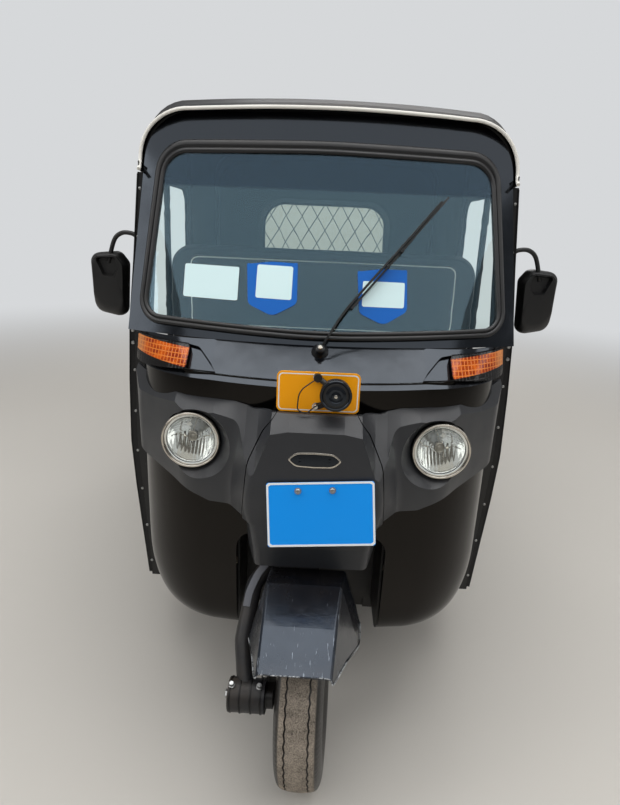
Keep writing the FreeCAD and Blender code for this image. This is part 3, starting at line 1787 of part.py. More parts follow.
def handlebar():
    # Bent bar with grips and levers, a stem clamp and a shroud
    stem = steering_rod(985.3, 1012.0, column_radius)
    bar = bent_tube(
        [
            point(-312.0, 505.0, 1010.0),
            point(-150.0, 392.0, 1022.0),
            point(150.0, 392.0, 1022.0),
            point(312.0, 505.0, 1010.0),
        ],
        11.0,
        [70.0, 70.0],
    )
    shroud = across(
        [
            (330.0, 990.0, 10.0),
            (425.0, 985.0, 10.0),
            (425.0, 1030.0, 14.0),
            (345.0, 1040.0, 14.0),
        ],
        -95.0,
        95.0,
    )
    parts = [stem, bar, shroud]
    for side in (-1, 1):
        inner = point(side * 216.0, 438.0, 1017.1)
        outer = point(side * 312.0, 505.0, 1010.0)
        parts.append(rod(inner, outer, 16.0))
        lever_in = point(side * 200.0, 420.0, 1016.0)
        lever_mid = point(side * 214.0, 392.0, 1014.0)
        lever_out = point(side * 312.0, 448.0, 1006.0)
        parts.append(rod(lever_in, lever_mid, 6.0))
        parts.append(rod(lever_mid, lever_out, 5.0))
    return fused(parts)


def build():
    shell = fascia_shell()
    half_track = rear_track / 2.0
    pieces["chassis_frame"] = chassis_frame()
    pieces["floor_pan"] = floor_pan()
    pieces["front_apron"] = front_apron()
    pieces["wheel_well"] = wheel_well()
    pieces["front_cowl"] = front_cowl()
    pieces["fascia_wings"] = fascia_wings(shell)
    pieces["fascia_centre"] = fascia_centre(shell)
    pieces["headlamps"] = headlamps()
    pieces["headlamp_lenses"] = headlamp_lenses()
    pieces["front_indicators"] = front_indicators()
    pieces["windscreen_frame"] = windscreen_frame()
    pieces["windscreen_glass"] = windscreen_glass()
    pieces["windscreen_seal"] = windscreen_seal()
    pieces["wiper"] = wiper(pieces["front_cowl"], pieces["windscreen_seal"])
    pieces["number_plate"] = number_plate(pieces["fascia_centre"])
    pieces["horn_plate"] = horn_plate(pieces["front_cowl"], pieces["front_apron"])
    pieces["horn"] = horn(pieces["horn_plate"])
    pieces["pillar_strips"] = pillar_strips()
    pieces["door_posts"] = door_posts()
    pieces["mirror_housings"] = mirror_housings()
    pieces["mirror_glasses"] = mirror_glasses()
    pieces["canopy"] = canopy()
    pieces["canopy_frame"] = canopy_frame()
    pieces["rear_window"] = rear_window()
    pieces["rear_guard"] = rear_guard()
    pieces["partition"] = partition()
    pieces["driver_seat_box"] = driver_seat_box()
    pieces["driver_seat"] = driver_seat()
    pieces["driver_backrest"] = driver_backrest()
    pieces["passenger_seat_base"] = passenger_seat_base()
    pieces["passenger_cushion"] = passenger_cushion()
    pieces["passenger_backrest"] = passenger_backrest()
    pieces["luggage_tray"] = luggage_tray()
    pieces["rear_quarters"] = rear_quarters()
    pieces["wheel_housings"] = wheel_housings()
    pieces["tail_panel"] = tail_panel()
    pieces["engine_cover"] = engine_cover()
    pieces["tail_lamps"] = tail_lamps()
    pieces["rear_bumper"] = rear_bumper()
    pieces["engine"] = engine()
    pieces["rear_arms"] = rear_arms()
    pieces["rear_dampers"] = rear_dampers()
    pieces["drive_shafts"] = drive_shafts()
    pieces["silencer"] = silencer()
    pieces["dashboard"] = dashboard()
    pieces["pedals"] = pedals()
    pieces["fork"] = parked(fork())
    pieces["handlebar"] = parked(handlebar())
    pieces["front_mudguard"] = parked(front_mudguard())
    pieces["trailing_link"] = parked(trailing_link())
    pieces["front_damper"] = parked(front_damper())
    pieces["front_rim"] = parked(rim(0.0, 0.0, wheel_z, 1))
    pieces["front_tyre"] = parked(tyre(0.0, 0.0, wheel_z))
    for side, name in ((1, "left"), (-1, "right")):
        pieces["rear_rim_" + name] = rim(side * half_track, wheelbase, wheel_z, side)
        pieces["rear_tyre_" + name] = tyre(side * half_track, wheelbase, wheel_z)


build()
os.makedirs("parts", exist_ok=True)
for name, shape in pieces.items():
    shape.exportStep("parts/" + name + ".step")
print(len(pieces), "pieces written")
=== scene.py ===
import bpy, bmesh, math
from mathutils import Matrix, Vector, noise
from mathutils.bvhtree import BVHTree


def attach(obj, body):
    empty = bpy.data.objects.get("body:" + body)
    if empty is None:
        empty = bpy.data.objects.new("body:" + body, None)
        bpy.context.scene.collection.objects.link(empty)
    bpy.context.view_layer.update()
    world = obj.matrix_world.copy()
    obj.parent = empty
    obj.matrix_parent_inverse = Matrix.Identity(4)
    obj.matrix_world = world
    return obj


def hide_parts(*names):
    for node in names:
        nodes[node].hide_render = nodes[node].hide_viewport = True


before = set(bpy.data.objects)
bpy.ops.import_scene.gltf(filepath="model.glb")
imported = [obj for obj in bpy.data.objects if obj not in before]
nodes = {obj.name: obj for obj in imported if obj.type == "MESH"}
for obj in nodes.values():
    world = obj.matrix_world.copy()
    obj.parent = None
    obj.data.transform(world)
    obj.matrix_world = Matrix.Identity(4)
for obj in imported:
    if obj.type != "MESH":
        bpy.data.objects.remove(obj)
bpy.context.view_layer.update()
print("frame loaded,", len(nodes), "nodes")

axleY = -1.0675  # the front axle in the frame; s below is the distance behind it, in mm
bothSides = ((-1, "Right"), (1, "Left"))


def at(x, s, z):  # millimetres from the front axle and the ground to the frame's metres
    return Vector((x / 1000, axleY + s / 1000, z / 1000))


def putInScene(name, data):
    thing = bpy.data.objects.new(name, data)
    bpy.context.scene.collection.objects.link(thing)
    return thing


# camera and stage
view = {"x": -0.00443, "y": -2.32196, "z": 1.35318, "pitch": 17.0, "yaw": 0.5595, "roll": 2.468,
        "lens": 27.503}


def aimCamera():
    pitch, yaw, roll = (math.radians(view[k]) for k in ("pitch", "yaw", "roll"))
    ahead = Vector((math.sin(-yaw) * math.cos(pitch), math.cos(yaw) * math.cos(pitch), -math.sin(pitch)))
    right = ahead.cross(Vector((0, 0, 1))).normalized()
    down = ahead.cross(right)
    tiltRight = math.cos(roll) * right - math.sin(roll) * down
    tiltDown = math.sin(roll) * right + math.cos(roll) * down
    data = bpy.data.cameras.new("photoCamera")
    data.lens, data.sensor_width, data.sensor_fit = view["lens"], 36.0, "AUTO"
    data.clip_start, data.clip_end = 0.02, 200
    camera = putInScene("photoCamera", data)
    turn = Matrix((tiltRight, -tiltDown, -ahead)).transposed().to_4x4()
    camera.matrix_world = Matrix.Translation((view["x"], view["y"], view["z"])) @ turn
    bpy.context.scene.camera = camera


aimCamera()
bpy.context.scene.view_settings.view_transform = "Standard"


def linear(code):  # "#rrggbb" in sRGB to the renderer's linear colour
    parts = [int(code[i:i + 2], 16) / 255 for i in (1, 3, 5)]
    return tuple(c / 12.92 if c <= 0.04045 else ((c + 0.055) / 1.055) ** 2.4 for c in parts) + (1.0,)


def outletOf(source):  # a node stands for its first output
    return source.outputs[0] if hasattr(source, "outputs") else source


def addNode(tree, kind, settings=None, links=None):
    node = tree.nodes.new(kind if "Node" in kind else "ShaderNode" + kind)
    for key, value in (settings or {}).items():
        if isinstance(key, int) or key in node.inputs:
            node.inputs[key].default_value = value
        else:
            setattr(node, key, value)
    for key, source in (links or {}).items():
        tree.links.new(outletOf(source), node.inputs[key])
    return node


def startMaterial(name, **settings):
    material = bpy.data.materials.new(name)
    material.use_nodes = True
    tree = material.node_tree
    shader = tree.nodes["Principled BSDF"]
    for key, value in settings.items():
        shader.inputs[key.replace("_", " ")].default_value = value
    where = addNode(tree, "TexCoord").outputs["Object"]
    return material, tree, shader, where


def wire(tree, shader, **sources):  # links what drives the shader's colour, roughness and normal
    for key, source in sources.items():
        tree.links.new(outletOf(source), shader.inputs[key.replace("_", " ")])


stage = {
    "floor": "#cbc7c0", "haze": "#d6d8da", "lift": 0.27, "half": 40.0, "sweep": (2.6, 7.5),
    "lights": {  # place, aim, size and power of each soft box
        "topLight": ((0.0, -0.75, 4.2), (0, -0.74, 0.8), (4.4, 1.9), 84.0),
        "frontLight": ((0.0, -4.8, 5.8), (0, -0.9, 1.0), (12.0, 5.2), 228.0),
        "keyLight": ((-4.4, -2.2, 3.2), (0, -0.6, 0.8), (2.2, 2.6), 46.0),
        "sideLight": ((4.4, -1.2, 3.0), (0, -0.2, 0.8), (2.2, 2.6), 34.0),
        "rearLight": ((0.6, 4.8, 3.8), (0, 0.6, 0.9), (3.4, 2.4), 80.0),
    },
}


def seenDirectly(tree):  # 1 for what the camera sees, also through glass; mirrored rays get 0
    path = addNode(tree, "LightPath").outputs
    return addNode(tree, "Math", {"operation": "MAXIMUM"},
                   {0: path["Is Camera Ray"], 1: path["Is Transmission Ray"]})


def makeFloor():
    half = stage["half"]
    mesh = bpy.data.meshes.new("studioFloor")
    corners = [(-half, -half, 0), (half, -half, 0), (half, half, 0), (-half, half, 0)]
    mesh.from_pydata(corners, [], [(0, 1, 2, 3)])
    floor = putInScene("studioFloor", mesh)
    material, tree, shader, where = startMaterial("paleFloor", Roughness=0.9)
    shader.inputs["Base Color"].default_value = linear(stage["floor"])
    # far from the vehicle the floor runs into the backdrop's own colour, as a paper sweep does
    reach = addNode(tree, "VectorMath", {"operation": "LENGTH"}, {0: where})
    near, far = stage["sweep"]
    fade = addNode(tree, "MapRange", {"From Min": near, "From Max": far, "interpolation_type": "SMOOTHSTEP"},
                   {"Value": reach.outputs["Value"]})
    share = addNode(tree, "Math", {"operation": "MULTIPLY"}, {0: fade, 1: seenDirectly(tree)})
    glow = {"Color": linear(stage["haze"]), "Strength": 1.0}
    sweepLight = addNode(tree, "Emission", glow)
    both = addNode(tree, "MixShader", {}, {0: share, 1: shader, 2: sweepLight})
    tree.links.new(outletOf(both), tree.nodes["Material Output"].inputs["Surface"])
    mesh.materials.append(material)


def setStage():
    world = bpy.data.worlds.new("studio")
    bpy.context.scene.world = world
    world.use_nodes = True
    tree = world.node_tree
    tree.nodes.clear()
    fill = {"Color": (1, 1, 1, 1), "Strength": stage["lift"]}
    light = addNode(tree, "Background", fill)
    backdrop = {"Color": linear(stage["haze"]), "Strength": 1.0}
    haze = addNode(tree, "Background", backdrop)
    mix = addNode(tree, "MixShader", {}, {0: seenDirectly(tree), 1: light, 2: haze})
    addNode(tree, "OutputWorld", {}, {"Surface": mix})
    makeFloor()
    for name, (place, aim, size, power) in stage["lights"].items():
        data = bpy.data.lights.new(name, "AREA")
        data.shape, data.size, data.size_y, data.energy = "RECTANGLE", size[0], size[1], power
        lamp = putInScene(name, data)
        lamp.location = place
        lamp.rotation_euler = (Vector(aim) - Vector(place)).to_track_quat("-Z", "Y").to_euler()


setStage()
print("camera and stage set")


# materials
def layDust(tree, where, colour, dust="#8d7a63", amount=0.35, grain=35.0, lift=0.0):
    # road dust: settles on what faces up and thins out with height; returns colour and factor sockets
    normal = addNode(tree, "NewGeometry").outputs["Normal"]
    up = addNode(tree, "SeparateXYZ", {}, {0: normal}).outputs["Z"]
    facing = addNode(tree, "MapRange", {"From Min": -0.1, "To Min": 0.25}, {"Value": up})
    height = addNode(tree, "SeparateXYZ", {}, {0: where}).outputs["Z"]
    low = addNode(tree, "MapRange", {"From Min": 0.1, "From Max": 1.1, "To Min": 1.0, "To Max": 0.25 + lift},
                  {"Value": height})
    cloud = addNode(tree, "TexNoise", {"Scale": grain / 8, "Detail": 6.0, "Roughness": 0.62},
                    {"Vector": where})
    patch = addNode(tree, "MapRange", {"From Min": 0.38, "From Max": 0.75}, {"Value": cloud})
    share = facing
    for other in (low, patch):
        share = addNode(tree, "Math", {"operation": "MULTIPLY"}, {0: share, 1: other})
    share = addNode(tree, "Math", {"operation": "MULTIPLY", 1: amount}, {0: share})
    mix = addNode(tree, "Mix", {"data_type": "RGBA", 7: linear(dust)}, {0: share})
    if isinstance(colour, str):
        mix.inputs[6].default_value = linear(colour)
    else:
        tree.links.new(outletOf(colour), mix.inputs[6])
    return mix.outputs[2], share


def makeEnamel(name, colour, rough, dustAmount, dents=0.25, scratches=0.06, shine=0.36, glint="#ffffff"):
    # Stoving enamel sprayed on pressed steel: deep gloss, faint waves, swirl scratches, dust
    # glint tints every reflection; the bluish and warm glints given below paint in the colour of the sky and
    # the ground (painted reflection)
    material, tree, shader, where = startMaterial(name, IOR=1.5, Specular_IOR_Level=shine,
                                                  Specular_Tint=linear(glint))
    tint, dust = layDust(tree, where, colour, amount=dustAmount)
    swirl = addNode(tree, "TexNoise", {"Scale": 18.0, "Detail": 8.0, "Roughness": 0.7}, {"Vector": where})
    smear = addNode(tree, "MapRange", {"From Min": 0.3, "From Max": 0.8, "To Min": rough,
                                       "To Max": rough + 0.14}, {"Value": swirl})
    haze = addNode(tree, "Math", {"operation": "MULTIPLY_ADD", 1: 0.9}, {0: dust, 2: smear})
    wave = addNode(tree, "TexNoise", {"Scale": 5.0, "Detail": 2.0}, {"Vector": where})
    bump = addNode(tree, "Bump", {"Strength": dents, "Distance": 0.004}, {"Height": wave})
    stretch = addNode(tree, "Mapping", {"Scale": (260.0, 260.0, 22.0), "Rotation": (0.3, 0.5, 0.2)},
                      {"Vector": where})
    line = addNode(tree, "TexNoise", {"Scale": 1.0, "Detail": 3.0}, {"Vector": stretch})
    bump = addNode(tree, "Bump", {"Strength": scratches, "Distance": 0.0004},
                   {"Height": line, "Normal": bump})
    wire(tree, shader, Base_Color=tint, Roughness=haze, Normal=bump)
    return material


def makeMoulding(name, colour, rough, grainMm, dustAmount, depth=0.35):
    # Injection-moulded ABS or rubber with a pebbled grain cut in the tool; satin, dust in the grain
    material, tree, shader, where = startMaterial(name, IOR=1.5)
    tint, dust = layDust(tree, where, colour, amount=dustAmount)
    cloud = addNode(tree, "TexNoise", {"Scale": 14.0, "Detail": 5.0}, {"Vector": where})
    haze = addNode(tree, "MapRange", {"From Min": 0.3, "From Max": 0.7, "To Min": rough - 0.06,
                                      "To Max": rough + 0.08}, {"Value": cloud})
    haze = addNode(tree, "Math", {"operation": "MULTIPLY_ADD", 1: 0.5}, {0: dust, 2: haze})
    grain = addNode(tree, "TexVoronoi", {"Scale": 1000.0 / grainMm, "feature": "SMOOTH_F1"},
                    {"Vector": where}).outputs["Distance"]
    bump = addNode(tree, "Bump", {"Strength": depth, "Distance": 0.0004}, {"Height": grain})
    wire(tree, shader, Base_Color=tint, Roughness=haze, Normal=bump)
    return material


def makeCloth(name, colour, threadMm, dustAmount, rough=0.55, folds=0.3, weaveDepth=0.2):
    # PVC-coated woven cloth: the weave prints through as a fine grid, dust rests in the folds
    material, tree, shader, where = startMaterial(name, IOR=1.5, Specular_IOR_Level=0.22, Sheen_Weight=0.04,
                                                  Sheen_Roughness=0.5)
    tint, dust = layDust(tree, where, colour, amount=dustAmount, grain=22.0, lift=0.5)
    haze = addNode(tree, "Math", {"operation": "MULTIPLY_ADD", 1: 0.5, 2: rough}, {0: dust})
    soft = addNode(tree, "TexNoise", {"Scale": 9.0, "Detail": 4.0, "Distortion": 0.6}, {"Vector": where})
    bump = addNode(tree, "Bump", {"Strength": folds, "Distance": 0.006}, {"Height": soft})
    weave = addNode(tree, "TexVoronoi", {"Scale": 1000.0 / threadMm, "distance": "CHEBYCHEV"},
                    {"Vector": where}).outputs["Distance"]
    bump = addNode(tree, "Bump", {"Strength": weaveDepth, "Distance": 0.0004},
                   {"Height": weave, "Normal": bump})
    wire(tree, shader, Base_Color=tint, Roughness=haze, Normal=bump)
    return material


def makeMetal(name, colour, rough, stain="#5a4636", stainAmount=0.2, grain=60.0):
    # Plated, cast or rolled metal: metallic, with a fine tooth and brown staining in patches
    material, tree, shader, where = startMaterial(name, Metallic=1.0)
    cloud = addNode(tree, "TexNoise", {"Scale": grain, "Detail": 8.0, "Roughness": 0.68}, {"Vector": where})
    share = addNode(tree, "MapRange", {"From Min": 0.5, "From Max": 0.85, "To Max": stainAmount * 2},
                    {"Value": cloud})
    mix = addNode(tree, "Mix", {"data_type": "RGBA", 6: linear(colour), 7: linear(stain)},
                  {0: share}).outputs[2]
    haze = addNode(tree, "Math", {"operation": "MULTIPLY_ADD", 1: 0.5, 2: rough}, {0: share})
    bump = addNode(tree, "Bump", {"Strength": 0.15, "Distance": 0.0006}, {"Height": cloud})
    wire(tree, shader, Base_Color=mix, Roughness=haze, Normal=bump)
    return material


def makeGlass(name, colour, rough, ribMm=0.0, ior=1.5):
    # Clear or dyed lens and sheet: fully transmitting, with moulded ribs where ribMm is given
    material, tree, shader, where = startMaterial(name, IOR=ior, Transmission_Weight=1.0)
    cloud = addNode(tree, "TexNoise", {"Scale": 30.0, "Detail": 6.0}, {"Vector": where})
    haze = addNode(tree, "MapRange", {"From Min": 0.45, "From Max": 0.8, "To Min": rough,
                                      "To Max": rough + 0.05}, {"Value": cloud})
    shader.inputs["Base Color"].default_value = linear(colour)
    if ribMm:
        rib = addNode(tree, "TexWave", {"Scale": 314.16 / ribMm, "bands_direction": "X"},
                      {"Vector": where}).outputs["Fac"]
        bump = addNode(tree, "Bump", {"Strength": 0.8, "Distance": 0.0012}, {"Height": rib})
        wire(tree, shader, Normal=bump)
    wire(tree, shader, Roughness=haze)
    return material


def makeWindscreen():
    # Laminated safety glass, faint green, with a blue-grey sun band in its top 90 mm; its reflections are
    # tinted pale blue, a painted reflection of the sky
    material, tree, shader, where = startMaterial("laminatedGlass", IOR=1.52, Transmission_Weight=1.0,
                                                  Roughness=0.0, Specular_Tint=linear("#bfe6ff"))
    height = addNode(tree, "SeparateXYZ", {}, {0: where}).outputs["Z"]
    band = addNode(tree, "MapRange", {"From Min": 1.408, "From Max": 1.414}, {"Value": height})
    mix = addNode(tree, "Mix", {"data_type": "RGBA", 6: linear("#e6f4f2"), 7: linear("#8593a6")},
                  {0: band}).outputs[2]
    wire(tree, shader, Base_Color=mix)
    return material


def makeTyreRubber():
    # Moulded tyre rubber: brown-grey where the road scrubs it, black on the walls, fine ribs
    material, tree, shader, where = startMaterial("scrubbedTyreRubber", IOR=1.5)
    wrap = addNode(tree, "UVMap", {"uv_map": "wrap"})
    worn = addNode(tree, "Attribute", {"attribute_name": "worn"}).outputs["Fac"]
    grit = addNode(tree, "TexNoise", {"Scale": 330.0, "Detail": 7.0, "Roughness": 0.85}, {"Vector": where})
    patch = addNode(tree, "TexNoise", {"Scale": 34.0, "Detail": 5.0}, {"Vector": where})
    both = addNode(tree, "Math", {"operation": "MULTIPLY_ADD", 1: 0.22}, {0: patch, 2: grit})
    speck = addNode(tree, "MapRange", {"From Min": 0.47, "From Max": 0.76}, {"Value": both})
    scrub = addNode(tree, "Mix", {"data_type": "RGBA", 6: linear("#39332d"), 7: linear("#b3a798")},
                    {0: speck}).outputs[2]
    wall = addNode(tree, "Mix", {"data_type": "RGBA", 6: linear("#0b0b0d"), 7: linear("#2a2622")},
                   {0: patch}).outputs[2]
    tint = addNode(tree, "Mix", {"data_type": "RGBA"}, {0: worn, 6: wall, 7: scrub}).outputs[2]
    rough = addNode(tree, "MapRange", {"To Min": 0.3, "To Max": 0.9}, {"Value": worn})
    rib = addNode(tree, "TexWave", {"Scale": 70.0, "bands_direction": "Y"}, {"Vector": wrap}).outputs["Fac"]
    bump = addNode(tree, "Bump", {"Strength": 0.25, "Distance": 0.0005}, {"Height": rib})
    bump = addNode(tree, "Bump", {"Strength": 0.6, "Distance": 0.0007}, {"Height": grit, "Normal": bump})
    wire(tree, shader, Base_Color=tint, Roughness=rough, Normal=bump)
    return material


def makeChippedLipAndHighlight():
    # Black enamel chipped to pale primer and bare steel along a lip; the pale chips also stand for the
    # highlight on the lip's edge, a painted highlight
    material, tree, shader, where = startMaterial("chippedLipAndHighlight", IOR=1.5)
    chip = addNode(tree, "TexNoise", {"Scale": 160.0, "Detail": 5.0, "Roughness": 0.7}, {"Vector": where})
    run = addNode(tree, "TexNoise", {"Scale": 14.0, "Detail": 2.0}, {"Vector": where})
    both = addNode(tree, "Math", {"operation": "MULTIPLY"}, {0: chip, 1: run})
    share = addNode(tree, "MapRange", {"From Min": 0.25, "From Max": 0.33}, {"Value": both})
    tint = addNode(tree, "Mix", {"data_type": "RGBA", 6: linear("#14181e"), 7: linear("#b9bcbe")},
                   {0: share}).outputs[2]
    rough = addNode(tree, "MapRange", {"To Min": 0.2, "To Max": 0.5}, {"Value": share})
    wire(tree, shader, Base_Color=tint, Roughness=rough)
    return material


def makeGuard():
    # Sprayed enamel on the mudguard: blue-black, scuffed pale in short streaks, most at its front; its blue
    # cast, in the colour and in the tint of its reflections, is a painted reflection of the sky
    material, tree, shader, where = startMaterial("scratchedEnamel", IOR=1.5, Specular_IOR_Level=0.52,
                                                  Specular_Tint=linear("#cfe0f6"), Coat_Weight=0.2,
                                                  Coat_Roughness=0.08)
    # the blue in #10151d and in the specular tint above paints in the sky's reflection (painted reflection)
    tint = layDust(tree, where, "#10151d", amount=0.14)[0]
    stretch = addNode(tree, "Mapping", {"Scale": (240.0, 26.0, 26.0), "Rotation": (0.0, 0.0, 0.06)},
                      {"Vector": where})
    streak = addNode(tree, "TexNoise", {"Scale": 1.0, "Detail": 4.0, "Roughness": 0.6}, {"Vector": stretch})
    place = addNode(tree, "SeparateXYZ", {}, {0: where}).outputs
    near = addNode(tree, "MapRange", {"From Min": -1.12, "From Max": -1.32, "To Max": 0.09},
                   {"Value": place["Y"]})
    raised = addNode(tree, "Math", {"operation": "ADD"}, {0: streak, 1: near})
    mark = addNode(tree, "MapRange", {"From Min": 0.7, "From Max": 0.76, "To Max": 0.6}, {"Value": raised})
    worn = addNode(tree, "Mix", {"data_type": "RGBA", 7: linear("#a9b1ba")}, {0: mark, 6: tint}).outputs[2]
    cloud = addNode(tree, "TexNoise", {"Scale": 9.0, "Detail": 6.0, "Roughness": 0.6}, {"Vector": where})
    smear = addNode(tree, "MapRange", {"From Min": 0.3, "From Max": 0.75, "To Min": 0.12, "To Max": 0.34},
                    {"Value": cloud})
    bump = addNode(tree, "Bump", {"Strength": 0.35, "Distance": 0.005}, {"Height": cloud})
    bump = addNode(tree, "Bump", {"Strength": 0.25, "Distance": 0.0005}, {"Height": streak, "Normal": bump})
    wire(tree, shader, Base_Color=worn, Roughness=smear, Normal=bump)
    return material


def makeIndicator():
    # Amber acrylic over a moulded prism grid: glows orange where thick, pale at its outer end
    material, tree, shader, where = startMaterial("amberAcrylicGrid", IOR=1.49, Roughness=0.1,
                                                  Transmission_Weight=0.12, Specular_IOR_Level=0.3)
    place = addNode(tree, "SeparateXYZ", {}, {0: where}).outputs
    columns = addNode(tree, "Math", {"operation": "PINGPONG", 1: 0.0045}, {0: place["X"]})
    rows = addNode(tree, "Math", {"operation": "PINGPONG", 1: 0.0048}, {0: place["Z"]})
    grid = addNode(tree, "Math", {"operation": "MINIMUM"}, {0: columns, 1: rows})
    cell = addNode(tree, "MapRange", {"From Min": 0.0004, "From Max": 0.0014}, {"Value": grid})
    sway = addNode(tree, "TexNoise", {"Scale": 26.0, "Detail": 3.0}, {"Vector": where})
    glow = addNode(tree, "MapRange", {"From Min": 0.42, "From Max": 0.62}, {"Value": sway})
    base = addNode(tree, "Mix", {"data_type": "RGBA", 6: linear("#8a2a04"), 7: linear("#c9580c")},
                   {0: glow}).outputs[2]
    lined = addNode(tree, "Mix", {"data_type": "RGBA", 6: linear("#dc7a2c")}, {0: cell, 7: base}).outputs[2]
    out = addNode(tree, "Math", {"operation": "ABSOLUTE"}, {0: place["X"]})
    pale = addNode(tree, "MapRange", {"From Min": 0.425, "From Max": 0.447, "To Max": 0.5}, {"Value": out})
    final = addNode(tree, "Mix", {"data_type": "RGBA", 7: linear("#e6a668")}, {0: pale, 6: lined}).outputs[2]
    # the black bezel leaves a band of lens that falls inwards: its foot and its top run over the width
    foot = addNode(tree, "Math", {"operation": "MULTIPLY_ADD", 1: 0.0743, 2: 0.9799}, {0: out})
    above = addNode(tree, "Math", {"operation": "SUBTRACT"}, {0: place["Z"], 1: foot})
    top = addNode(tree, "Math", {"operation": "MULTIPLY_ADD", 1: 0.07, 2: 1.0185}, {0: out})
    below = addNode(tree, "Math", {"operation": "SUBTRACT"}, {0: top, 1: place["Z"]})
    inside = addNode(tree, "Math", {"operation": "MINIMUM"}, {0: above, 1: below})
    lens = addNode(tree, "MapRange", {"From Max": 0.0012}, {"Value": inside})
    final = addNode(tree, "Mix", {"data_type": "RGBA", 6: linear("#0c0a0a")}, {0: lens, 7: final}).outputs[2]
    bump = addNode(tree, "Bump", {"Strength": 0.3, "Distance": 0.0008}, {"Height": cell})
    wire(tree, shader, Base_Color=final, Normal=bump)
    return material


def makeTailLens():
    # Red acrylic with vertical prisms, an amber band at its top
    material, tree, shader, where = startMaterial("redAcrylicPrisms", IOR=1.49, Roughness=0.08,
                                                  Transmission_Weight=0.1, Coat_Weight=0.5,
                                                  Coat_Roughness=0.05)
    place = addNode(tree, "SeparateXYZ", {}, {0: where}).outputs
    ribs = addNode(tree, "Math", {"operation": "PINGPONG", 1: 0.003}, {0: place["X"]})
    rows = addNode(tree, "Math", {"operation": "PINGPONG", 1: 0.006}, {0: place["Z"]})
    grid = addNode(tree, "Math", {"operation": "MINIMUM"}, {0: ribs, 1: rows})
    cell = addNode(tree, "MapRange", {"From Min": 0.0003, "From Max": 0.0016}, {"Value": grid})
    red = addNode(tree, "Mix", {"data_type": "RGBA", 6: linear("#7d0a0c"), 7: linear("#d41a1c")},
                  {0: cell}).outputs[2]
    amber = addNode(tree, "Mix", {"data_type": "RGBA", 6: linear("#b04a08"), 7: linear("#ff9522")},
                    {0: cell}).outputs[2]
    band = addNode(tree, "MapRange", {"From Min": 0.7745, "From Max": 0.7755}, {"Value": place["Z"]})
    tint = addNode(tree, "Mix", {"data_type": "RGBA"}, {0: band, 6: red, 7: amber}).outputs[2]
    bump = addNode(tree, "Bump", {"Strength": 0.4, "Distance": 0.001}, {"Height": cell})
    wire(tree, shader, Base_Color=tint, Normal=bump)
    return material


finish = {
    # the gloss's bluish glint paints a sky reflection, the nose's warm glint a ground reflection
    "gloss": makeEnamel("glossBlackEnamel", "#06070a", 0.07, 0.05, shine=0.55, glint="#dbe9fa"),
    "cowl": makeEnamel("glossBlackNoseEnamel", "#040405", 0.07, 0.05, shine=0.26, glint="#f2e8dc"),
    "guard": makeGuard(),
    "satin": makeEnamel("satinBlackEnamel", "#090a0c", 0.34, 0.22),
    "strut": makeEnamel("greyChassisEnamel", "#181b20", 0.3, 0.4),
    "floorCoat": makeEnamel("floorCoating", "#17181a", 0.45, 0.9),
    "fascia": makeMoulding("grainedAbs", "#26282c", 0.36, 2.0, 0.08),
    "plastic": makeMoulding("blackPolypropylene", "#0a0b0d", 0.4, 1.6, 0.12),
    "seal": makeMoulding("epdmRubber", "#0c0d10", 0.36, 3.0, 0.12, depth=0.1),
    "canopy": makeCloth("coatedCanopyCloth", "#101216", 1.6, 0.16, weaveDepth=0.02),
    "seat": makeCloth("seatLeathercloth", "#1d2023", 2.2, 0.22, rough=0.4, folds=0.15, weaveDepth=0.02),
    "piping": makeCloth("whitePvcPiping", "#e9e7e0", 3.0, 0.35, rough=0.4, folds=0.1),
    "chrome": makeMetal("agedChromePlate", "#c9c3b8", 0.14, stainAmount=0.3),
    "reflector": makeMetal("aluminisedReflector", "#e8e8e6", 0.06, stainAmount=0.04),
    "steel": makeMetal("zincPlatedSteel", "#a8a9a8", 0.3, stainAmount=0.3),
    "cast": makeMetal("castAluminium", "#8e8f8f", 0.5, stainAmount=0.45, grain=25.0),
    "exhaust": makeMetal("rustedExhaustSteel", "#7a5f4c", 0.6, stain="#55301c", stainAmount=0.6, grain=30.0),
    "wire": makeMetal("enamelledWire", "#3c3f42", 0.45, stainAmount=0.3),
    "mirror": makeMetal("silveredMirror", "#f0f2f3", 0.02, stainAmount=0.02),
    "rim": makeEnamel("silverWheelEnamel", "#8b8d8e", 0.32, 0.8),
    "glass": makeWindscreen(),
    "sheet": makeGlass("clearVinylSheet", "#c9c8bb", 0.12),
    "lens": makeGlass("clearLampGlass", "#fbfdfb", 0.0),
    "amber": makeIndicator(),
    "red": makeTailLens(),
    "tyre": makeTyreRubber(),
    "thread": makeCloth("blackSewingThread", "#1b1d20", 1.0, 0.1, rough=0.6, folds=0.0),
    "blue": makeEnamel("reflectiveBlueFilm", "#1196f4", 0.32, 0.06, dents=0.1, shine=0.2),
    "orange": makeEnamel("orangeEnamel", "#ffa90c", 0.3, 0.08, dents=0.1, shine=0.2),
    "white": makeEnamel("whiteEnamel", "#eef1f1", 0.35, 0.1, dents=0.05),
    "paper": makeEnamel("laminatedCard", "#d3ecee", 0.3, 0.04, dents=0.05),
    "shield": makeEnamel("blueFilmShield", "#0b60b8", 0.3, 0.04, dents=0.05, shine=0.2),
    "shieldCap": makeMetal("burntNickelCap", "#8b867c", 0.3, stainAmount=0.3),
    # pale chips on the mudguard's lip: chipped paint, and partly a painted highlight on its edge
    "worn": makeChippedLipAndHighlight(),
    # light grey enamel for the strip on the fork leg: a painted highlight along the leg
    "legStripHighlight": makeEnamel("greyEnamelLegHighlight", "#5a5d65", 0.36, 0.3, dents=0.1),
    "strutBlack": makeEnamel("satinBlackStrip", "#08090b", 0.32, 0.08, dents=0.05),
    "sidewall": makeMoulding("sidewallRubber", "#121314", 0.42, 2.5, 0.35, depth=0.2),
}

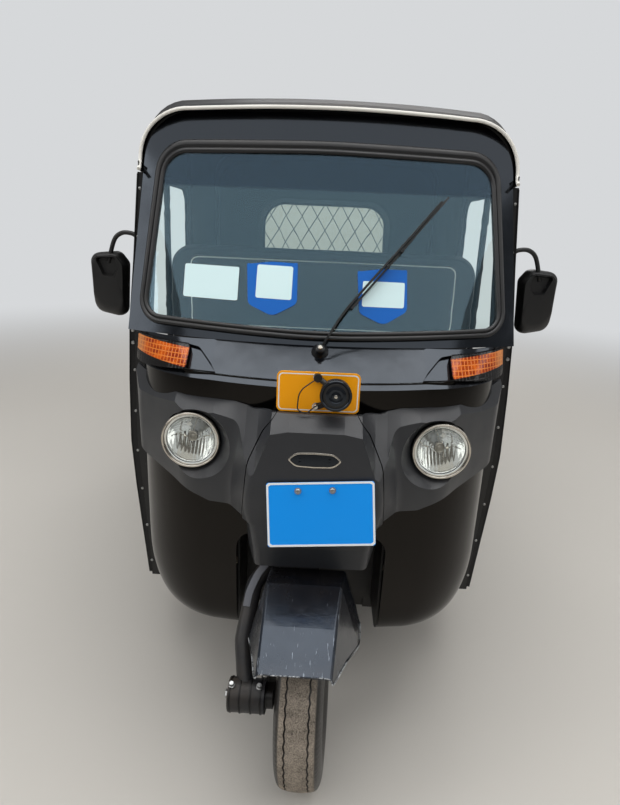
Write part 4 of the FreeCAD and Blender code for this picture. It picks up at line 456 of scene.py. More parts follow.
dressing = {
    "gloss": ["front_cowl", "windscreen_frame", "rear_quarters", "tail_panel", "engine_cover"],
    "cowl": ["front_apron"],
    "guard": ["front_mudguard"],
    "satin": ["chassis_frame", "wheel_well", "door_posts", "canopy_frame", "driver_seat_box",
              "passenger_seat_base", "partition", "luggage_tray", "wheel_housings", "rear_bumper",
              "rear_arms", "trailing_link", "handlebar"],
    "strut": ["fork"],
    "floorCoat": ["floor_pan"],
    "fascia": ["fascia_wings", "fascia_centre"],
    "plastic": ["mirror_housings", "dashboard", "headlamps", "pedals", "pillar_strips", "wiper", "horn"],
    "seal": ["windscreen_seal", "drive_shafts"],
    "canopy": ["canopy"],
    "seat": ["driver_seat", "driver_backrest", "passenger_cushion", "passenger_backrest"],
    "cast": ["engine"],
    "exhaust": ["silencer"],
    "wire": ["rear_guard"],
    "mirror": ["mirror_glasses"],
    "rim": ["front_rim", "rear_rim_left", "rear_rim_right"],
    "steel": ["front_damper", "rear_dampers"],
    "glass": ["windscreen_glass"],
    "sheet": ["rear_window"],
    "lens": ["headlamp_lenses"],
    "amber": ["front_indicators"],
    "red": ["tail_lamps"],
    "blue": ["number_plate"],
    "orange": ["horn_plate"],
    "sidewall": ["front_tyre", "rear_tyre_left", "rear_tyre_right"],
}
for key, names in dressing.items():
    for name in names:
        nodes[name].data.materials.clear()
        nodes[name].data.materials.append(finish[key])
print("materials made,", len(finish))


# how pieces are made
def addPiece(name, verts, faces, material, body="body", smooth=40.0):
    mesh = bpy.data.meshes.new(name)
    mesh.from_pydata([tuple(v) for v in verts], [], faces)
    piece = putInScene(name, mesh)
    mesh.materials.append(material)
    work = bmesh.new()
    work.from_mesh(mesh)
    bmesh.ops.remove_doubles(work, verts=work.verts, dist=1e-6)
    bmesh.ops.recalc_face_normals(work, faces=work.faces)
    work.to_mesh(mesh)
    work.free()
    mesh.shade_smooth()
    if smooth < 180:
        mesh.set_sharp_from_angle(angle=math.radians(smooth))
    if body:
        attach(piece, body)
    return piece


def joinPieces(name, pieces, body="body"):  # several meshes become one piece that keeps their materials
    work = bmesh.new()
    materials = []
    for piece in pieces:
        own = []
        for material in piece.data.materials:
            if material not in materials:
                materials.append(material)
            own.append(materials.index(material))
        before = len(work.faces)
        work.from_mesh(piece.data)
        work.faces.ensure_lookup_table()
        for face in work.faces[before:]:
            face.material_index = own[face.material_index]
    mesh = bpy.data.meshes.new(name)
    work.to_mesh(mesh)
    work.free()
    for material in materials:
        mesh.materials.append(material)
    whole = putInScene(name, mesh)
    for piece in pieces:
        bpy.data.objects.remove(piece)
    mesh.set_sharp_from_angle(angle=math.radians(40))
    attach(whole, body)
    return whole


def gridFaces(rows, columns, closeRows=False, closeColumns=False):
    faces = []
    for r in range(rows if closeRows else rows - 1):
        for c in range(columns if closeColumns else columns - 1):
            a, b = r * columns + c, r * columns + (c + 1) % columns
            below = ((r + 1) % rows) * columns
            faces.append((a, b, below + (c + 1) % columns, below + c))
    return faces


def aheadAt(path, i, closed):  # the path's direction at its point i
    before = path[i - 1] if i or closed else path[0]
    after = path[(i + 1) % len(path)] if closed or i < len(path) - 1 else path[-1]
    return (after - before).normalized()


def sweep(name, path, ups, profile, material, body="body", closed=False, smooth=40.0):
    # profile: a closed list of (across, up) in metres; ups: an up vector for each point of the path
    verts, count, n = [], len(path), len(profile)
    for i, spot in enumerate(path):
        ahead = aheadAt(path, i, closed)
        side = ahead.cross(ups[i]).normalized()
        up = side.cross(ahead)
        verts += [spot + side * a + up * b for a, b in profile]
    faces = gridFaces(count, n, closeRows=closed, closeColumns=True)
    if not closed:
        faces += [tuple(range(n)), tuple(reversed(range((count - 1) * n, count * n)))]
    return addPiece(name, verts, faces, material, body, smooth)


def ring(radius, sides):
    turns = [2 * math.pi * k / sides for k in range(sides)]
    return [(radius * math.cos(turn), radius * math.sin(turn)) for turn in turns]


def tube(name, path, radius, material, body="body", closed=False, sides=10):
    path, ups = [Vector(p) for p in path], []
    for i in range(len(path)):
        ahead = aheadAt(path, i, closed)
        first = Vector((0, 0, 1)) if abs(ahead.z) < 0.9 else Vector((1, 0, 0))
        guess = ups[-1] if ups else first
        ups.append((guess - ahead * guess.dot(ahead)).normalized())
    return sweep(name, path, ups, ring(radius, sides), material, body, closed)


def smoothPath(points, steps):  # a smooth open line through the points
    points, line = [Vector(p) for p in points], []
    last = len(points) - 1
    for i in range(last):
        a, b, c, d = (points[min(max(i + k, 0), last)] for k in (-1, 0, 1, 2))
        for k in range(steps):
            t = k / steps
            line.append(0.5 * ((2 * b) + (c - a) * t + (2 * a - 5 * b + 4 * c - d) * t * t
                               + (3 * b - a - 3 * c + d) * t ** 3))
    return line + [points[-1]]


def turned(name, profile, start, axis, material, body="body", sides=40, smooth=35.0):
    # a lathe piece: profile of (along, radius) in mm from start along axis
    axis = Vector(axis).normalized()
    across = axis.orthogonal().normalized()
    other = axis.cross(across)
    verts = []
    for along, radius in profile:
        for k in range(sides):
            angle = 2 * math.pi * k / sides
            out = across * math.cos(angle) + other * math.sin(angle)
            verts.append(Vector(start) + axis * along / 1000 + out * max(radius, 1e-4) / 1000)
    return addPiece(name, verts, gridFaces(len(profile), sides, closeColumns=True), material, body, smooth)


def roundedLoop(corners, steps):  # corners (a, b, radius) in mm become a closed list of points
    loop = []
    for i, (a, b, radius) in enumerate(corners):
        here = Vector((a, b))
        if radius <= 0:
            loop.append(here)
            continue
        back = (Vector(corners[i - 1][:2]) - here).normalized()
        on = (Vector(corners[(i + 1) % len(corners)][:2]) - here).normalized()
        half = math.acos(max(-1, min(1, back.dot(on)))) / 2
        centre = here + (back + on).normalized() * radius / math.sin(half)
        first = here + back * radius / math.tan(half) - centre
        last = here + on * radius / math.tan(half) - centre
        swing = math.atan2(first.x * last.y - first.y * last.x, first.dot(last))
        loop += [centre + Matrix.Rotation(swing * k / steps, 2) @ first for k in range(steps + 1)]
    return loop


def evenLoop(loop, spacing, count=0):  # the same closed line with points an even distance apart
    lengths = [(loop[(i + 1) % len(loop)] - loop[i]).length for i in range(len(loop))]
    total = sum(lengths)
    count = count or max(8, round(total / spacing))
    out, i, passed = [], 0, 0.0
    for k in range(count):
        goal = total * k / count
        while passed + lengths[i] < goal:
            passed += lengths[i]
            i += 1
        out.append(loop[i].lerp(loop[(i + 1) % len(loop)], (goal - passed) / max(lengths[i], 1e-9)))
    return out


def fourCorners(left, low, right, high, lowRadius, highRadius):
    return [(left, low, lowRadius), (right, low, lowRadius),
            (right, high, highRadius), (left, high, highRadius)]


def wobble(a, b, c):
    return noise.noise(Vector((a, b, c)))


# windscreen surface and the nose's plan, as the solids have them
screen = {"lowZ": 1040.0, "highZ": 1610.0, "lowS": 173.0, "highS": 423.0, "bowZ": 1020.0,
          "bowRise": 590.0, "lowBow": 118.0, "highBow": 60.0, "half": 510.0}
glassOutline = {"low": 1080.0, "high": 1502.0, "lowHalf": 447.0, "highHalf": 416.0,
                "lowRadius": 42.0, "highRadius": 66.0, "lowBow": 14.0, "highBow": 8.0}


def onScreen(x, z, off=0.0):  # a point of the glass's front face, off mm in front of it
    lean = (screen["highS"] - screen["lowS"]) / (screen["highZ"] - screen["lowZ"])
    share = (z - screen["lowZ"]) / (screen["highZ"] - screen["lowZ"])
    rise = (z - screen["bowZ"]) / screen["bowRise"]
    bow = screen["lowBow"] + rise * (screen["highBow"] - screen["lowBow"])
    radius = (screen["half"] ** 2 + bow ** 2) / (2 * bow)
    reach = math.sqrt(radius ** 2 - x ** 2)
    s = screen["lowS"] + share * (screen["highS"] - screen["lowS"]) + radius - reach
    slope = x / reach
    length = math.sqrt(1 + lean ** 2 + slope ** 2)
    return at(x + slope * off / length, s - off / length, z + lean * off / length)


def screenNormal(x, z):
    return (onScreen(x, z, 10.0) - onScreen(x, z)).normalized()


def sealLoop(grow):  # the glass's outline grown by so many mm
    edge = glassOutline
    low, high = edge["low"] - grow, edge["high"] + (1.6 if grow > 0 else 1.0) * grow
    wide, narrow = edge["lowHalf"] + grow, edge["highHalf"] + grow
    foot, top = low + edge["lowBow"], high - edge["highBow"]
    lowRadius, highRadius, bowed = edge["lowRadius"] + grow, edge["highRadius"] + grow, 3000
    corners = [(-wide, foot, lowRadius), (0, low, bowed), (wide, foot, lowRadius),
               (narrow, top, highRadius), (0, high, bowed), (-narrow, top, highRadius)]
    return evenLoop(roundedLoop(corners, 10), 6.0)


# windscreen: rubber seal with its locking strip, blank cards and shields, wiper
seal = {  # (grow, off) in mm across the rubber, from the glass outwards
    "profile": [(-7.0, 0.4), (-6.6, 3.4), (-3.6, 6.4), (-1.0, 7.0), (1.6, 6.2), (2.4, 4.6),
                (3.2, 4.4), (4.4, 6.8), (7.0, 8.6), (10.0, 8.8), (13.2, 7.4), (15.2, 4.6),
                (15.5, 1.0), (15.5, -7.6), (-7.0, -7.6)],
    "count": 260,
}


def makeSeal():
    rows, count = seal["profile"], seal["count"]
    verts = []
    for grow, off in rows:
        verts += [onScreen(p.x, p.y, off) for p in evenLoop(sealLoop(grow), 10.0, count)]
    faces = gridFaces(len(rows), count, closeRows=True, closeColumns=True)
    rubber = addPiece("windscreenRubber", verts, faces, finish["seal"], smooth=60)
    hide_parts("windscreen_seal")


makeSeal()

papers = {  # (x, z) on the glass, width and height in mm, and the card's turn in degrees
    "cards": [((-274, 1185.5), 138, 77, -0.6), ((-117.4, 1193.3), 87, 76, -1.0),
              ((146.3, 1175.3), 102, 58, -0.8)],
    "shields": [((-121.6, 1178), 124, 124), ((145.2, 1170), 121, 128)],
    "gap": 0.5,
}


def shieldOutline(width, height):  # flat top with small horns, straight sides, rounded foot
    w, h = width / 2, height / 2
    corners = [(-w, h, 3), (-w * 0.9, h * 0.93, 6), (0, h, 60), (w * 0.9, h * 0.93, 6), (w, h, 3),
               (w * 0.96, -h * 0.55, 16), (0, -h, 30), (-w * 0.96, -h * 0.55, 16)]
    return evenLoop(roundedLoop(corners, 6), 4.0)


def onGlass(name, centre, loop, turn, off, material):  # a thin sheet that follows the glass
    spin = Matrix.Rotation(math.radians(turn), 2)
    loop, middle = [spin @ p for p in loop], Vector(centre)
    verts = []
    for lift in (off, off - 0.3):
        for share in (1.0, 0.5):
            spots = [middle + p * share for p in loop]
            verts += [onScreen(p.x, p.y, lift) for p in spots]
        verts.append(onScreen(middle.x, middle.y, lift))
    n = len(loop)
    back, faces = 2 * n + 1, []
    for base in (0, back):
        for k in range(n):
            j = (k + 1) % n
            faces += [(base + k, base + j, base + n + j, base + n + k),
                      (base + n + k, base + n + j, base + 2 * n)]
    faces += [(k, (k + 1) % n, back + (k + 1) % n, back + k) for k in range(n)]
    piece = addPiece(name, verts, faces, material)


def makePapers():
    gap = papers["gap"]
    for i, (centre, width, height) in enumerate(papers["shields"]):
        loop = shieldOutline(width, height)
        onGlass(f"windscreenShield{i + 1}", centre, loop, 3.0, gap, finish["shield"])
    for i, (centre, width, height, turn) in enumerate(papers["cards"]):
        w, h = width / 2, height / 2
        loop = evenLoop(roundedLoop(fourCorners(-w, -h, w, h, 3, 3), 4), 5.0)
        onGlass(f"windscreenCard{i + 1}", centre, loop, turn, gap + 0.5, finish["paper"])


makePapers()

wiperSizes = {
    "pivot": (0, 156, 1047), "axis": (0, -0.78, 0.62), "elbow": (62, 1140, 26), "tip": (280, 1390, 16),
    "bladeLow": (70, 1140), "bladeHigh": (299, 1404), "bladeParts": 30, "rubberOff": 5.4, "spineOff": 10.0,
    "hub": [(-6, 0), (-6, 19), (1, 20), (5, 18), (8, 14), (11, 13), (16, 12), (19, 9), (20.5, 5), (21, 0)],
    "nut": [(20.5, 0), (20.5, 5.5), (24, 5.5), (25.2, 4.2), (25.2, 0)],
    "joint": [(5, 0), (5, 5), (16, 5), (17, 4), (17, 0)],
    "arm": [(-3.0e-3, -2e-3), (3.0e-3, -2e-3), (2.6e-3, 1.2e-3), (1.8e-3, 2.0e-3), (-1.8e-3, 2.0e-3),
            (-2.6e-3, 1.2e-3)],
    "rubber": [(-0.8e-3, -4e-3), (0.8e-3, -4e-3), (1.2e-3, 0), (2.6e-3, 1e-3), (2.6e-3, 3e-3),
               (-2.6e-3, 3e-3), (-2.6e-3, 1e-3), (-1.2e-3, 0)],
    "spine": [(-2.2e-3, -1.5e-3), (2.2e-3, -1.5e-3), (1.6e-3, 1.4e-3), (-1.6e-3, 1.4e-3)],
}


def makeWiper():
    pivot, axis = at(*wiperSizes["pivot"]), Vector(wiperSizes["axis"])
    elbow, tip = onScreen(*wiperSizes["elbow"]), onScreen(*wiperSizes["tip"])
    start = pivot + axis * 0.012
    bend = start.lerp(elbow, 0.35) + axis * 0.006
    path = smoothPath([start, bend, elbow, elbow.lerp(tip, 0.5), tip], 8)
    ups = [screenNormal(150, 1200)] * len(path)
    (lowX, lowZ), (highX, highZ) = wiperSizes["bladeLow"], wiperSizes["bladeHigh"]
    n, black = wiperSizes["bladeParts"], finish["strutBlack"]
    spots = [(lowX + (highX - lowX) * k / n, lowZ + (highZ - lowZ) * k / n) for k in range(n + 1)]
    normals = [screenNormal(x, z) for x, z in spots]
    rubber = [onScreen(x, z, wiperSizes["rubberOff"]) for x, z in spots]
    spine = [onScreen(x, z, wiperSizes["spineOff"]) for x, z in spots[3:28]]
    joint, jointAxis = onScreen(*spots[n // 2]), screenNormal(*spots[n // 2])
    whole = joinPieces("wiperAssembly", [
        turned("hub", wiperSizes["hub"], pivot, axis, finish["seal"]),
        turned("nut", wiperSizes["nut"], pivot, axis, finish["chrome"], sides=12),
        sweep("arm", path, ups, wiperSizes["arm"], black),
        sweep("rubber", rubber, normals, wiperSizes["rubber"], finish["seal"]),
        sweep("spine", spine, normals[3:28], wiperSizes["spine"], black),
        turned("joint", wiperSizes["joint"], joint, jointAxis, black, sides=14),
    ])
    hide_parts("wiper")


makeWiper()
print("windscreen pieces made")


# headlamps: fluted reflector, bulb with its shield, aged bezel
lamp = {"x": 291.0, "s": 80.0, "z": 841.0, "bezel": 68.6, "mouth": 62.5, "bowl": 54.0, "bore": 8.0,
        "plain": 17.0, "seat": 9.0, "focus": 14.6, "flute": 8.5, "fluteDepth": 1.3, "fluteTop": 6.0,
        "fineDepth": 0.5, "shieldAt": 26.0, "rings": 26, "spokes": 120, "legs": (90, 210, 330)}


def bowlDepth(radius):  # how far the parabola stands in front of its own pole, in mm
    return radius ** 2 / (4 * lamp["focus"])


def flutedBack(radius, x, z):  # the bowl's depth here, less the prisms pressed into it
    back = bowlDepth(lamp["bowl"]) - bowlDepth(radius)
    if radius <= lamp["plain"]:
        return back
    edge = min(1.0, (lamp["bowl"] - radius) / 5.0)
    if z < lamp["fluteTop"]:
        fade = edge * min(1.0, (lamp["fluteTop"] - z) / 6.0)
        return back - lamp["fluteDepth"] * abs(math.sin(math.pi * x / lamp["flute"])) * fade
    return back - lamp["fineDepth"] * abs(math.sin(math.pi * x / (2.2 * lamp["flute"]))) * edge


def makeReflector(name, side):
    rings, spokes, verts = lamp["rings"], lamp["spokes"], []
    for i in range(rings + 1):
        radius = lamp["bore"] + (lamp["bowl"] - lamp["bore"]) * i / rings
        for x, z in ring(radius, spokes):
            back = lamp["s"] + lamp["seat"] + flutedBack(radius, x, z)
            verts.append(at(side * lamp["x"] + x, back, lamp["z"] + z))
    for x, z in ring(lamp["bowl"] + 3.0, spokes):
        verts.append(at(side * lamp["x"] + x, lamp["s"] + 7.0, lamp["z"] + z))
    faces = gridFaces(rings + 2, spokes, closeColumns=True)
    piece = addPiece(name, verts, faces, finish["reflector"], smooth=180)
    work = bmesh.new()
    work.from_mesh(piece.data)
    work.normal_update()
    if sum(face.normal.y * face.calc_area() for face in work.faces) > 0:
        bmesh.ops.reverse_faces(work, faces=work.faces)  # the silvered side looks forwards
    work.to_mesh(piece.data)
    work.free()
    return piece


def makeBulb(word, centre, inwards):
    far = bowlDepth(lamp["bowl"]) + lamp["seat"]
    tip = far - lamp["shieldAt"] - 8
    socket = [(far + 2, 0), (far + 2, 9), (far - 6, 9), (far - 8, 7.5), (far - 9, 0)]
    bulb = [(far - 8, 5.5), (far - 24, 5.5), (far - 28, 4.4), (far - 30, 2.0), (far - 30.4, 0)]
    cap = [(tip + 9, 0), (tip + 9, 11.5), (tip + 4, 13), (tip + 1.2, 12.4), (tip, 10.6), (tip + 0.9, 9.6),
           (tip + 0.9, 5.4), (tip, 4.6), (tip - 0.5, 2.4), (tip - 0.6, 0)]
    parts = [turned("socket", socket, centre, inwards, finish["steel"], sides=24),
             turned("bulb", bulb, centre, inwards, finish["lens"], sides=20),
             turned("cap", cap, centre, inwards, finish["shieldCap"], sides=36)]
    for angle in lamp["legs"]:
        out = Vector((math.cos(math.radians(angle)), 0, math.sin(math.radians(angle))))
        line = [centre + inwards * (tip + 6) / 1000 + out * 0.012,
                centre + inwards * (far - 7) / 1000 + out * 0.017]
        parts.append(tube("leg", line, 0.0011, finish["chrome"], sides=6))
    joinPieces("lampBulb" + word, parts)


def makeHeadlamps():
    mouth, bezel, lip = lamp["mouth"], lamp["bezel"], lamp["bowl"] + 2.6
    profile = [(2.0, mouth), (-0.5, mouth - 0.8), (-3.4, mouth - 0.4), (-5.0, mouth + 1.0),
               (-5.4, mouth + 3.0), (-4.6, bezel - 1.6), (-2.4, bezel), (4.4, bezel), (4.6, bezel - 4),
               (2.0, mouth)]
    ledge = [(1.74, mouth - 0.2), (1.96, mouth - 0.2), (1.96, lip), (1.74, lip), (1.74, mouth - 0.2)]
    inwards = Vector((0, 1, 0))
    for side, word in bothSides:
        centre = at(side * lamp["x"], lamp["s"], lamp["z"])
        bowl = makeReflector("lampReflector" + word, side)
        solid = bowl.modifiers.new("wall", "SOLIDIFY")
        solid.thickness, solid.offset = 0.0008, -1.0
        makeBulb(word, centre, inwards)
        rim = turned("lampBezel" + word, profile, centre, inwards, finish["chrome"], sides=96, smooth=50)
        seat = turned("lampLedge" + word, ledge, centre, inwards, finish["reflector"], sides=96)


makeHeadlamps()

# nose: plate with its white rim and screws, horn board, horn, oval blank plaque
plate = {"x": 17.5, "s": -64.0, "z": 740.0, "width": 232.0, "height": 140.0, "lean": 13.0,
         "turn": 4.0, "rim": 4.6, "rimHeight": 0.65, "screws": ((-48.0, 52.0), (26.0, 52.0)),
         "screw": [(0, 0), (0, 7.4), (1.0, 7.4), (1.2, 6.0), (3.2, 5.8), (4.6, 4.6), (5.2, 2.6), (5.3, 0)]}


def onPlate(u, v, w):  # a point of the plate's own face, w mm in front of it
    swing = Matrix.Rotation(math.radians(-plate["turn"]), 3, "Y")
    swing = swing @ Matrix.Rotation(math.radians(-plate["lean"]), 3, "X")
    return at(plate["x"], plate["s"], plate["z"]) + swing @ Vector((u, -w, v)) / 1000


def frameStrip(name, outer, inner, place, material, low, high):  # a flat ring between two closed lines
    rows = [(outer, low), (outer, high), (inner, high), (inner, low)]
    verts = [place(p.x, p.y, w) for loop, w in rows for p in loop]
    faces = gridFaces(len(rows), len(outer), closeRows=True, closeColumns=True)
    return addPiece(name, verts, faces, material, smooth=30)


def roundedFrame(halfWidth, halfHeight, radius, centre=(0, 0)):
    x, z = centre
    corners = fourCorners(x - halfWidth, z - halfHeight, x + halfWidth, z + halfHeight, radius, radius)
    return evenLoop(roundedLoop(corners, 6), 5.0, 96)


def makePlate():
    w, h, rim = plate["width"] / 2, plate["height"] / 2, plate["rim"]
    outer, inner = roundedFrame(w - 0.3, h - 0.3, 5), roundedFrame(w - rim, h - rim, 3)
    strip = frameStrip("plateRim", outer, inner, onPlate, finish["white"], 0.0, plate["rimHeight"])
    face = onPlate(0, 0, 1) - onPlate(0, 0, 0)
    screws = [turned("screw", plate["screw"], onPlate(u, v, 3.0), face, finish["steel"], sides=20)
              for u, v in plate["screws"]]
    joinPieces("plateScrews", screws)


makePlate()

hornBoard = {
    "z": 986.0, "s": 22.0, "halfWidth": 90.0, "halfHeight": 45.0, "line": 2.4, "inset": 3.4,
    "bolts": ((-4.0, 1021.0), (-4.0, 955.0)),
    "bolt": [(0, 0), (0, 8.5), (1.4, 8.5), (1.5, 5.6), (5.4, 5.4), (6.6, 4.4), (7.0, 2.0), (7.1, 0)],
    "strap": [(-4, 20.5, 955), (8, 16, 960), (22, 6, 972), (34, 2, 986)],  # lower bolt to the horn's back
    "strapSection": [(-7e-3, -1e-3), (7e-3, -1e-3), (7e-3, 1e-3), (-7e-3, 1e-3)],
}
hornSizes = {"place": (37.0, -26.0, 993.0), "radius": 33.0,
             "rivet": [(-2.9, 4.2), (-4.4, 3.6), (-5.2, 2.0), (-5.3, 0)]}


def onBoard(u, v, w):
    return at(u, hornBoard["s"] - w, v)


def makeHornBoard():
    w, h = hornBoard["halfWidth"] - hornBoard["inset"], hornBoard["halfHeight"] - hornBoard["inset"]
    centre, line = (0, hornBoard["z"]), hornBoard["line"]
    outer = roundedFrame(w, h, 9, centre=centre)
    inner = roundedFrame(w - line, h - line, 7.4, centre=centre)
    border = frameStrip("hornBoardLine", outer, inner, onBoard, finish["white"], 0.0, 0.3)
    fixings = [turned("bolt", hornBoard["bolt"], at(x, hornBoard["s"], z), (0, -1, 0), finish["chrome"],
                      sides=18) for x, z in hornBoard["bolts"]]
    strap = smoothPath([at(*p) for p in hornBoard["strap"]], 6)
    ups = [Vector((0, -1, 0.2))] * len(strap)
    fixings.append(sweep("strap", strap, ups, hornBoard["strapSection"], finish["strutBlack"]))
    joinPieces("hornFixings", fixings)


def makeHorn():
    r, start, inwards = hornSizes["radius"], at(*hornSizes["place"]), (0, 1, 0)
    profile = [(6.0, r + 0.8), (1.5, r + 1.0), (-0.6, r - 0.6), (-0.8, r - 4.0), (1.2, r - 6.0),
               (0.6, r - 10), (-1.6, r - 14), (-2.2, r - 18), (-0.6, 12.5), (-0.6, 9.6), (-2.4, 8.8),
               (-3.2, 6.6), (-3.0, 0)]
    face = turned("hornFace", profile, start, inwards, finish["gloss"], sides=64)
    rivet = turned("hornRivet", hornSizes["rivet"], start, inwards, finish["chrome"], sides=20)
    joinPieces("hornCover", [face, rivet])


makeHornBoard()
makeHorn()

plaque = {"x": -1.0, "z": 853.0, "halfWidth": 58.0, "halfHeight": 17.0, "lowS": -42.0, "highS": -35.0,
          "lowZ": 790.0, "highZ": 900.0, "count": 110,
          "rim": [(0.0, -0.6), (0.0, 1.8), (-1.6, 2.6), (-3.4, 2.4)],  # (grow, lift) of each line
          "field": [(-3.4, 2.4), (-3.8, 1.4), (-9.0, 1.7), (-14.0, 1.9)]}


def onProw(u, v, w):  # a point of the nose panel's flat face, w mm in front of it
    z = plaque["z"] + v
    share = (z - plaque["lowZ"]) / (plaque["highZ"] - plaque["lowZ"])
    return at(plaque["x"] + u, plaque["lowS"] + share * (plaque["highS"] - plaque["lowS"]) - w, z)


def eyeLoop(grow):  # an eye-shaped line, grown by so many mm
    w, h = plaque["halfWidth"] + grow, plaque["halfHeight"] + grow
    a, b, c = w * 0.72, h * 0.92, h * 1.02
    corners = [(-w, 0, 4), (-a, -b, 26), (0, -c, 90), (a, -b, 26), (w, 0, 4), (a, b, 26), (0, c, 90),
               (-a, b, 26)]
    return evenLoop(roundedLoop(corners, 6), 3.0, plaque["count"])


def makePlaque():  # plain badge plate with a bright rim
    n, pieces = plaque["count"], []
    for name, material in (("rim", "chrome"), ("field", "gloss")):
        rows = plaque[name]
        verts = [onProw(p.x, p.y, lift) for grow, lift in rows for p in eyeLoop(grow)]
        faces = gridFaces(len(rows), n, closeColumns=True)
        if name == "field":  # the middle is closed round one point
            last = (len(rows) - 1) * n
            verts.append(onProw(0, 0, 2.0))
            faces += [(last + k, last + (k + 1) % n, last + n) for k in range(n)]
        pieces.append(addPiece("plaque" + name.capitalize(), verts, faces, finish[material]))
    joinPieces("blankPlaque", pieces)


makePlaque()
print("nose pieces made")


# canopy: coated cloth stretched over the hoops
canopy = {
    "stations": [(386, 478, 1603), (466, 496, 1627), (720, 548, 1676), (1018, 580, 1698), (1492, 600, 1704),
                 (2210, 600, 1676), (2310, 586, 1632)],  # (s, half width, crown) at each hoop
    "eaveU": 0.4, "topU": 0.7, "cornerU": 0.3,  # shares of the way from the hem to the centre line
    "corner": 135.0, "camber": 16.0, "drop": 151.0, "inset": 1.0, "low": 932.0, "doorCorner": 90.0,
    "sag": 4.5, "ripple": 1.3, "cloth": 2.4, "piping": 4.6, "cutEnd": 466, "cutBack": 8.0, "cutBow": 48.0,
    "window": (340, 1130, 1410), "tail": 2309.0, "tailStart": 2296, "tailRadius": 13.0,
    "seams": (1018, 1492, 2214), "seamWidth": 16, "sideWay": 0.77, "flatLength": 2.9,
}


def cornerTurn(u):  # the angle gone round the roof's corner
    return math.pi / 2 * (u - canopy["eaveU"]) / canopy["cornerU"]


def canopyAt(s):
    rows = canopy["stations"]
    for low, high in zip(rows, rows[1:]):
        if s <= high[0]:
            share = max(0.0, (s - low[0]) / (high[0] - low[0]))
            return low[1] + share * (high[1] - low[1]), low[2] + share * (high[2] - low[2])
    return rows[-1][1], rows[-1][2]


def canopySag(s):  # 0 on a hoop, 1 midway between two
    hoops = [row[0] for row in canopy["stations"]]
    for low, high in zip(hoops, hoops[1:]):
        if low <= s <= high:
            return math.sin(math.pi * (s - low) / (high - low)) * min(1.0, (high - low) / 300.0)
    return 0.0


def canopyHem(s):  # height of the cloth's lower edge: header, rounded door corner, then the body's top
    header = 1448.0 - (s - 200) * 22 / 1286
    back, corner = 1488.0, canopy["doorCorner"]
    if s < back - corner:
        return header
    if s < back - 2:
        run = s - (back - corner)
        return header - corner + math.sqrt(max(corner ** 2 - run ** 2, 0.0))
    share = min(1.0, (s - back + 2) / 14.0)
    return (header - corner) * (1 - share) + canopy["low"] * share


def hoodTrim(s, u):  # the front edge is cut back to follow the windscreen's bow, all but its lower tips
    end = canopy["cutEnd"]
    if s >= end:
        return s
    if u < canopy["eaveU"]:
        share = 1.0
    elif u < canopy["topU"]:
        share = 0.72 + 0.28 * math.cos(cornerTurn(u))
    else:
        share = 0.72 * (1 - (u - canopy["topU"]) / 0.3)
    rise = min(1.0, u / 0.52)
    back = (canopy["cutBack"] + canopy["cutBow"] * share ** 2) * rise * rise * (3 - 2 * rise)
    return s + back * (end - s) / 80


def canopyPoint(s, u, side, shrink=0.0):  # u: 0 at the hem, 1 on the roof's centre line
    s = hoodTrim(s, u)
    half, crown = canopyAt(s)
    eave = crown - canopy["drop"]
    inset = canopy["inset"] + shrink
    corner = canopy["corner"] - inset
    flat = half - inset - corner
    if u < canopy["eaveU"]:
        hem = canopyHem(s)
        x, z, nx, nz = half - inset, hem + (eave - hem) * u / canopy["eaveU"], 1.0, 0.0
    elif u < canopy["topU"]:
        nx, nz = math.cos(cornerTurn(u)), math.sin(cornerTurn(u))
        x, z = flat + corner * nx, eave + corner * nz
    else:
        share = 1 - (u - canopy["topU"]) / 0.3
        x, z, nx, nz = flat * share, crown - inset - canopy["camber"] * share ** 2, 0.0, 1.0
    slack = canopySag(s)
    edge = min(1.0, (s - 386) / 60.0, (2320 - s) / 60.0)
    ripple = canopy["ripple"] * (1 + 2.5 * slack) * max(edge, 0.15)
    push = -slack * canopy["sag"] * (1.0 if u > 0.55 else 0.35 + u)
    push -= abs(wobble(s * 0.0055, u * 7 + side * 3, 1.7)) * ripple
    if u < canopy["eaveU"] and s > 1500:  # soft pleats in the tall side panels, dying out above
        pleat = (1.6 + 1.6 * wobble(s * 0.012, 4 * side, 9.1)) * (1 - u / canopy["eaveU"])
        push -= pleat * abs(math.sin(s * 0.021)) ** 2
    return at(side * (x + nx * push), s, z + nz * push)


def canopyColumns():
    places = [386, 392, 400, 412, 428, 446, 466]
    for low, high, count in ((466, 720, 12), (720, 1018, 14), (1018, 1398, 16)):
        places += [low + (high - low) * k / count for k in range(1, count + 1)]
    places += [1398 + 88 * math.sin(math.pi / 2 * k / 9) for k in range(1, 10)] + [1487.6, 1490, 1495, 1500]
    places += [1500 + (2210 - 1500) * k / 32 for k in range(1, 33)]
    return places + [2210 + (2296 - 2210) * k / 6 for k in range(1, 7)]


def canopyRows():
    half = [0.4 * k / 12 for k in range(12)] + [0.4 + 0.3 * k / 9 for k in range(9)] + [0.7 + 0.3 * k / 9
                                                                                        for k in range(9)]
    return [(u, -1) for u in half] + [(1.0, 1)] + [(u, 1) for u in reversed(half)]


def clothOut(u, side):  # which way the cloth faces
    if u < canopy["eaveU"]:
        return Vector((side, 0, 0))
    if u >= canopy["topU"]:
        return Vector((0, 0, 1))
    return Vector((side * math.cos(cornerTurn(u)), 0, math.sin(cornerTurn(u))))


